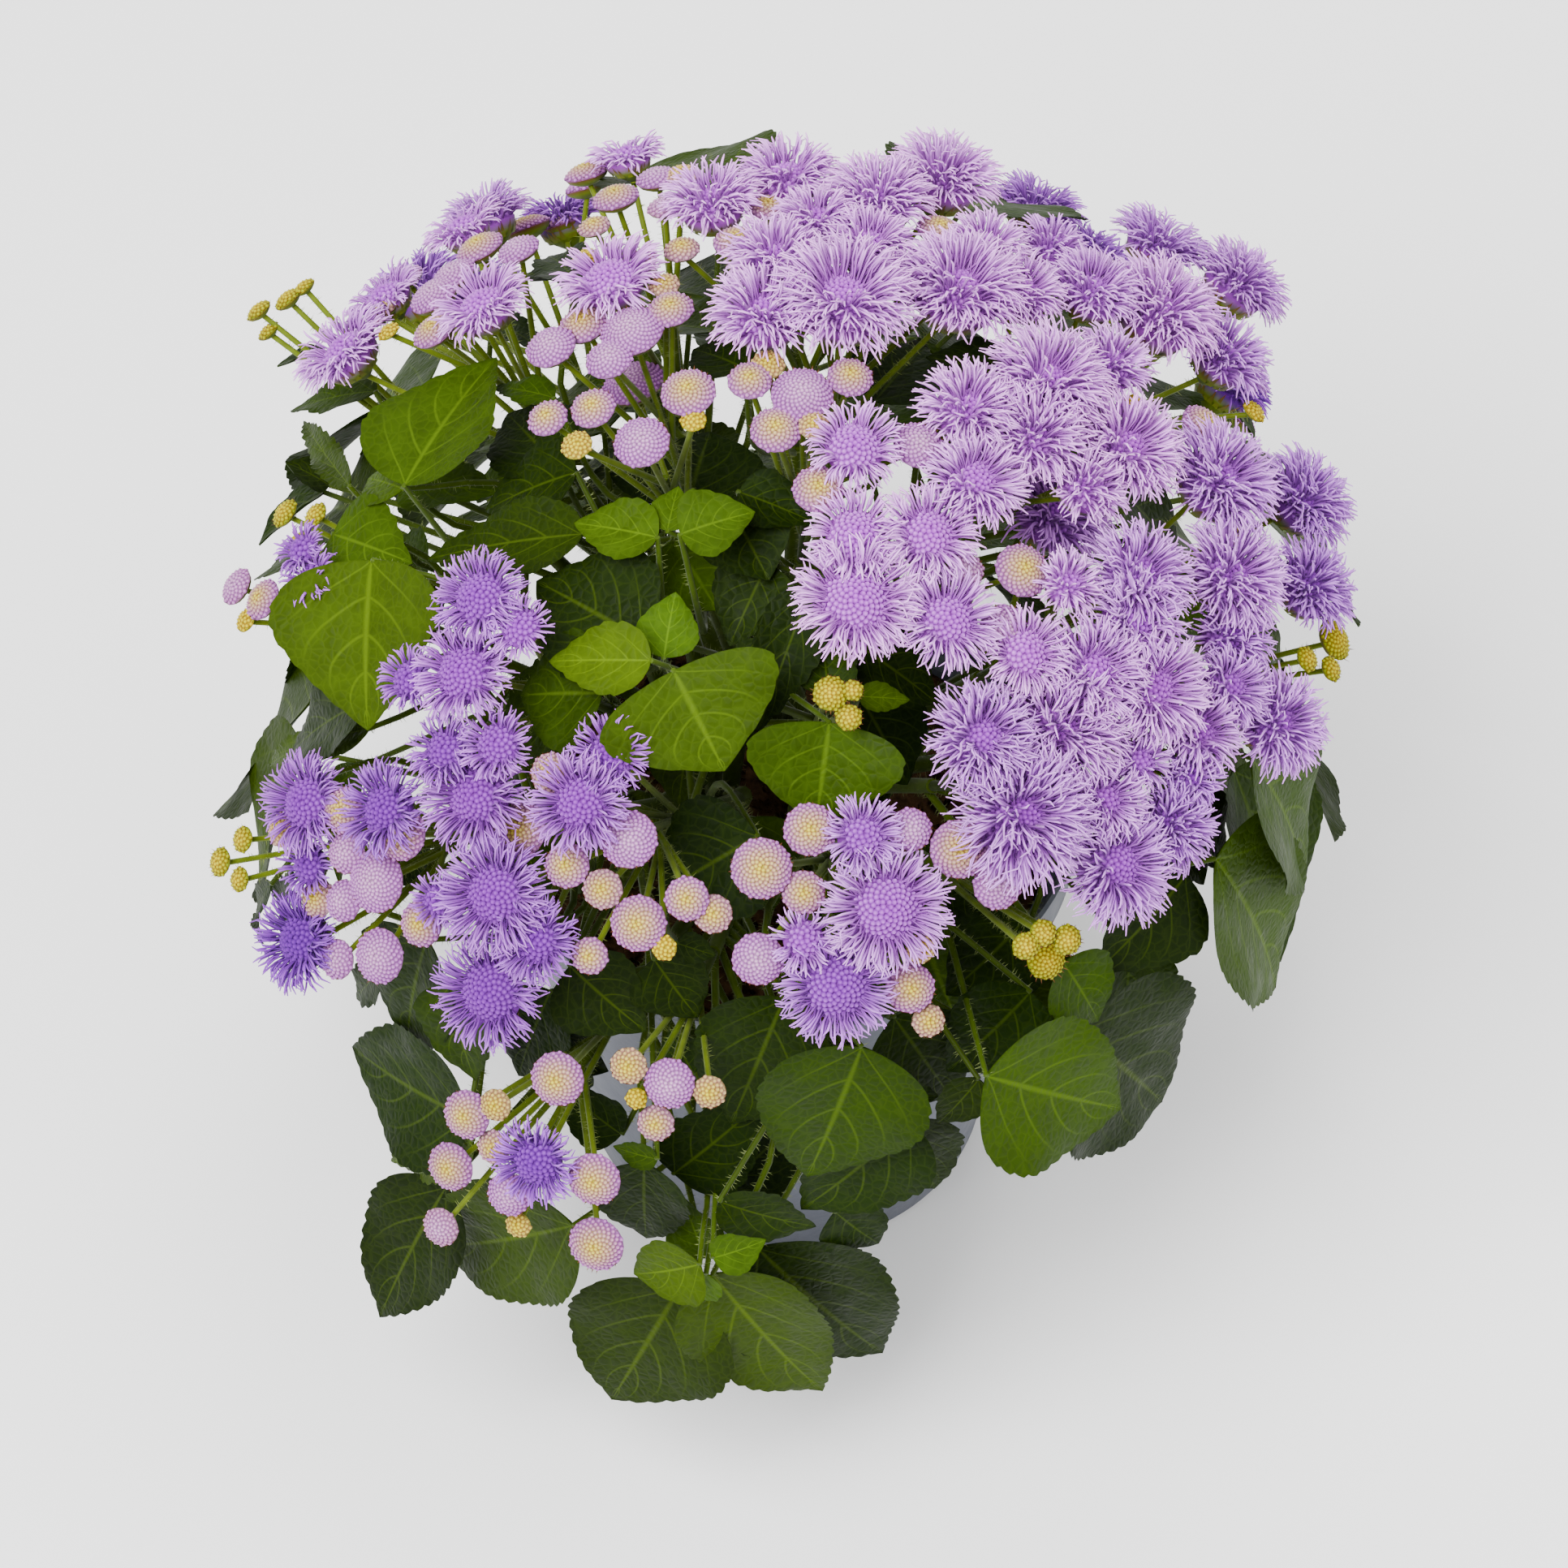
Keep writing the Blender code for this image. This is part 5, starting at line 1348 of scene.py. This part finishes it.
def draw_leaf(shapes, owner, route, tip, facing, wide, youth_and_light, rng):
    """One leaf with its stalk."""
    colour = fine_leaf(shapes[owner, "leaf"], route, tip, facing, wide, youth_and_light, rng)
    tints = (STALK_GREEN, blend(colour, STALK_GREEN, 0.5))
    fine_tube(shapes[owner, "stalk"], route, PETIOLE_RADIUS, STALK_END, tints, rng)


def draw_stem(shapes, owner, points, low, high, rng):
    """One main stem, branch or stalk."""
    fine_tube(shapes[owner, "stalk"], points, low, high, (STEM_GREEN, STALK_GREEN), rng, 9)


def draw_plant(plant):
    """Fine shapes for every leaf, head and stalk, by node and by look."""
    shapes = defaultdict(Shape)
    rng = np.random.default_rng(SEED)
    drawers = {"stem": draw_stem, "leaf": draw_leaf, "head": draw_head}
    for owner, kind, args in plant.drawn:
        drawers[kind](shapes, owner, *args, rng)
    return shapes


def feed(tree, node, inputs):
    """Set a node's inputs, by name or number, to values or links."""
    for key, value in inputs.items():
        if isinstance(value, bpy.types.NodeSocket):
            tree.links.new(value, node.inputs[key])
        else:
            node.inputs[key].default_value = value


def node_in(tree, kind, inputs=None, **settings):
    """A shader node with its settings and inputs."""
    made = tree.nodes.new(kind)
    for name, value in settings.items():
        setattr(made, name, value)
    feed(tree, made, inputs or {})
    return made


def maths(tree, operation, *inputs):
    """The result of a Math node."""
    return node_in(tree, "ShaderNodeMath", dict(enumerate(inputs)), operation=operation).outputs[0]


def ranged(tree, *inputs):
    """A number carried from a range, low to high, to another, and held inside it."""
    return node_in(tree, "ShaderNodeMapRange", dict(enumerate(inputs))).outputs[0]


def mixed(tree, share, first, second, blend_type="MIX"):
    """Two colours mixed by a share."""
    inputs = {0: share, 6: first, 7: second}
    return node_in(tree, "ShaderNodeMix", inputs, data_type="RGBA", blend_type=blend_type).outputs[2]


def scaled_colour(tree, colour, amount):
    """A colour made lighter or darker by a number at each point."""
    grey = node_in(tree, "ShaderNodeCombineColor", {0: amount, 1: amount, 2: amount}).outputs[0]
    return mixed(tree, 1.0, colour, grey, "MULTIPLY")


def object_place(tree):
    """Each point's place in the plant's own space."""
    return tree.nodes.new("ShaderNodeTexCoord").outputs["Object"]


def noise(tree, scale, detail=3.0):
    """Noise in the plant's own space."""
    inputs = {"Vector": object_place(tree), "Scale": scale, "Detail": detail}
    return node_in(tree, "ShaderNodeTexNoise", inputs).outputs[0]


def own_tint(tree):
    """Each point's own colour."""
    return node_in(tree, "ShaderNodeAttribute", attribute_name="tint").outputs[0]


def new_material(name, roughness, sheen=0.0, gloss=0.1):
    """A material, its tree and its shader."""
    material = bpy.data.materials.new(name)
    material.use_nodes = True
    tree = material.node_tree
    shader = tree.nodes["Principled BSDF"]
    feed(tree, shader, {"Roughness": roughness, "Sheen Weight": sheen, "Specular IOR Level": gloss})
    return material, tree, shader


def relief(tree, height, distance, strength):
    """A surface direction that follows a height at each point."""
    inputs = {"Strength": strength, "Distance": distance, "Height": height}
    return node_in(tree, "ShaderNodeBump", inputs).outputs[0]


def vein_pattern(tree, net):
    """How much of a vein each point of a blade is: a midrib, swept pairs and a fine net."""
    place = node_in(tree, "ShaderNodeUVMap", uv_map="blade").outputs[0]
    parts = node_in(tree, "ShaderNodeSeparateXYZ", {0: place})
    aside = maths(tree, "ABSOLUTE", maths(tree, "MULTIPLY_ADD", parts.outputs[1], 2.0, -1.0))
    wander = maths(tree, "MULTIPLY", maths(tree, "SUBTRACT", noise(tree, 120.0), 0.5), 0.03)
    swept = maths(tree, "MULTIPLY", maths(tree, "POWER", aside, VEIN_CURVE), VEIN_SWEEP)
    level = maths(tree, "ADD", maths(tree, "SUBTRACT", parts.outputs[0], swept), wander)
    pairs = maths(tree, "DIVIDE", level, VEIN_STEP)
    away = maths(tree, "ABSOLUTE", maths(tree, "SUBTRACT", pairs, maths(tree, "ROUND", pairs)))
    lateral = ranged(tree, away, 0.02, 0.07, 1.0, 0.0)
    lateral = maths(tree, "MULTIPLY", lateral, maths(tree, "GREATER_THAN", pairs, -0.4))
    lateral = maths(tree, "MULTIPLY", lateral, ranged(tree, aside, 0.35, 0.9, 0.6, 0.1))
    midrib = ranged(tree, aside, 0.012, 0.05, 0.8, 0.0)
    fine = ranged(tree, net, 0.0, 0.14, 0.16, 0.0)
    return maths(tree, "MAXIMUM", maths(tree, "MAXIMUM", lateral, midrib), fine)


def leaf_material():
    """Green blade with pale veins: a midrib, and pairs that sweep toward the tip."""
    material, tree, shader = new_material("leaf_blade", 0.6, gloss=0.06)
    cells = {"Vector": object_place(tree), "Scale": NET_SCALE}
    net = node_in(tree, "ShaderNodeTexVoronoi", cells, feature="DISTANCE_TO_EDGE").outputs["Distance"]
    mottle = ranged(tree, noise(tree, 260.0), 0.3, 0.7, 0.82, 1.18)
    tint = own_tint(tree)
    green = scaled_colour(tree, tint, mottle)
    paler = mixed(tree, 1.0, scaled_colour(tree, tint, 1.6), (*VEIN_GREEN, 1.0), "ADD")
    inputs = {
        "Base Color": mixed(tree, vein_pattern(tree, net), green, paler),
        "Roughness": ranged(tree, mottle, 0.82, 1.18, 0.5, 0.7),
        "Normal": relief(tree, net, 0.0003, 0.8),
    }
    feed(tree, shader, inputs)
    return material


def tinted_material(name, roughness, sheen, scale, spread):
    """A material that takes each point's own colour, a little mottled."""
    material, tree, shader = new_material(name, roughness, sheen)
    mottle = ranged(tree, noise(tree, scale), 0.3, 0.7, 1.0 - spread, 1.0 + spread)
    feed(tree, shader, {"Base Color": scaled_colour(tree, own_tint(tree), mottle)})
    return material


def spotted_material(name, dark, light, roughness, depth):
    """A material mottled between two colours, with a grain."""
    material, tree, shader = new_material(name, roughness)
    share = ranged(tree, noise(tree, GRAIN_SCALE, 6.0), 0.35, 0.65, 0.0, 1.0)
    rough = (0.3, 0.7, roughness - 0.08, min(1.0, roughness + 0.08))
    inputs = {
        "Base Color": mixed(tree, share, (*dark, 1.0), (*light, 1.0)),
        "Roughness": ranged(tree, noise(tree, 0.5 * GRAIN_SCALE), *rough),
        "Normal": relief(tree, noise(tree, 2.0 * GRAIN_SCALE, 6.0), depth, 0.7),
    }
    feed(tree, shader, inputs)
    return material


def finish_piece(obj, material, node):
    """Give a piece its material, hang it on the root body and hide the node's solid."""
    obj.data.materials.clear()
    obj.data.materials.append(material)
    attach(obj, "root")
    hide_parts(node)


def make_piece(name, shape, material, node):
    """A mesh object from a gathered shape."""
    points = np.concatenate(shape.points) * MM
    loops = np.concatenate(shape.loops)
    sizes = np.concatenate(shape.sizes)
    mesh = bpy.data.meshes.new(name)
    mesh.vertices.add(len(points))
    mesh.vertices.foreach_set("co", points.ravel())
    mesh.loops.add(len(loops))
    mesh.loops.foreach_set("vertex_index", loops)
    mesh.polygons.add(len(sizes))
    mesh.polygons.foreach_set("loop_start", np.concatenate([[0], np.cumsum(sizes)[:-1]]))
    mesh.polygons.foreach_set("use_smooth", np.ones(len(sizes), bool))
    mesh.update(calc_edges=True)
    tints = np.clip(np.concatenate(shape.tints), 0.0, 1.0)
    colours = mesh.color_attributes.new("tint", "FLOAT_COLOR", "POINT")
    colours.data.foreach_set("color", np.column_stack([tints, np.ones(len(tints))]).ravel())
    places = mesh.uv_layers.new(name="blade")
    places.data.foreach_set("uv", np.concatenate(shape.maps)[loops].ravel())
    finish_piece(linked(name, mesh), material, node)


def make_pot():
    """The pot as its solid is, rounder, with a rolled rim and a rounded foot."""
    pot = turned("pot_shell", pot_profile(), POT_SIDES)
    verts = []
    faces = []
    for k in range(DRAIN_COUNT):
        place = around(2.0 * pi * k / DRAIN_COUNT) * DRAIN_CIRCLE
        ends = [place - UP * 2.0, place + UP * (POT_FLOOR + 2.0)]
        points, sides = tube(ends, DRAIN_RADIUS, DRAIN_RADIUS, 8)
        faces += [tuple(len(verts) + i for i in face) for face in sides]
        verts += points
    drilled(pot, mesh_object("drill", verts, faces))
    for face in pot.data.polygons:
        face.use_smooth = True
    pot.data.set_sharp_from_angle(angle=radians(35.0))
    plastic = spotted_material("pot_plastic", linear(84, 87, 96), linear(90, 93, 102), 0.45, 0.0001)
    finish_piece(pot, plastic, "pot")


def make_soil():
    """Crumbly compost: the soil's top in fine relief over its plain side, with loose crumbs."""
    rng = np.random.default_rng(SEED + 1)
    shape = Shape()
    low = POT_FLOOR + GAP
    edge = inner_radius(SOIL_TOP) - GAP
    rings = [(inner_radius(low) - GAP, low), (edge, SOIL_TOP)]
    rings += [(edge * k, SOIL_TOP + SOIL_CROWN * (1.0 - k**2)) for k in np.linspace(0.97, 0.02, 30)]
    radius, height = np.array(rings).T[:, :, None]
    lump = rng.normal(0.0, 0.45, (len(rings), SOIL_SIDES))
    lump[:2] = 0.0
    points = polar(radius, full_turn(SOIL_SIDES), height + lump)
    shape.add(points, grid_faces(len(rings), SOIL_SIDES, True), BLACK)
    close_end(shape, points[0], (0.0, 0.0, low), BLACK, False)
    close_end(shape, points[-1], (0.0, 0.0, SOIL_TOP + SOIL_CROWN), BLACK, True)
    for _ in range(CRUMBS):
        far = (edge - 2.0) * sqrt(rng.random())
        turn = rng.uniform(0.0, 2.0 * pi)
        top = SOIL_TOP + SOIL_CROWN * (1.0 - (far / edge) ** 2)
        crumb = unit(rng.normal(0.0, 1.0, (6, 3))) * rng.uniform(0.5, 1.3)
        shape.add(polar(far, turn, top + 0.4) + crumb, CRUMB_FACES, BLACK)
    earth = spotted_material("compost", linear(38, 27, 18), linear(84, 62, 42), 0.9, 0.0008)
    make_piece("soil_crumbs", shape, earth, "soil")


def make_growth(shapes):
    """One piece for each node and look."""
    looks = {
        "leaf": (leaf_material(), "leaf"),
        "stalk": (tinted_material("green_stalk", 0.5, 0.05, 500.0, 0.18), "stem"),
        "floret": (tinted_material("petal", 0.72, 0.06, 700.0, 0.08), "flower"),
    }
    for (owner, look), shape in shapes.items():
        material, slot = looks[look]
        make_piece(f"{owner}_{look}", shape, material, owner)


def make_stage():
    """A plain pale floor and soft light from all round, most of it from above."""
    bpy.ops.mesh.primitive_plane_add(size=12.0, location=(0.0, 0.0, 0.0))
    floor = bpy.context.object
    floor.name = "floor"
    paper, tree, shader = new_material("pale_floor", 0.8)
    feed(tree, shader, {"Base Color": (0.94, 0.94, 0.94, 1.0)})
    floor.data.materials.append(paper)
    world = bpy.data.worlds.new("soft_light")
    world.use_nodes = True
    tree = world.node_tree
    feed(tree, tree.nodes["Background"], {"Color": (1.0, 1.0, 1.0, 1.0), "Strength": WORLD_LIGHT})
    bpy.context.scene.world = world
    for name, place, size, power in LIGHTS:
        light = bpy.data.lights.new(name, "AREA")
        light.size = size
        light.energy = power
        aim_at_plant(linked(name, light), Vector(place))


def make_camera():
    """The camera where the viewer stands, with the photograph's frame."""
    data = bpy.data.cameras.new("camera")
    data.sensor_width = SENSOR
    data.lens = 0.5 * SENSOR * VIEW_DISTANCE / VIEW_HALF
    data.clip_start = 0.05
    camera = linked("camera", data)
    aim_at_plant(camera, EYE * MM)
    bpy.context.scene.camera = camera


make_pot()
make_soil()
make_growth(draw_plant(grow()))
make_stage()
make_camera()
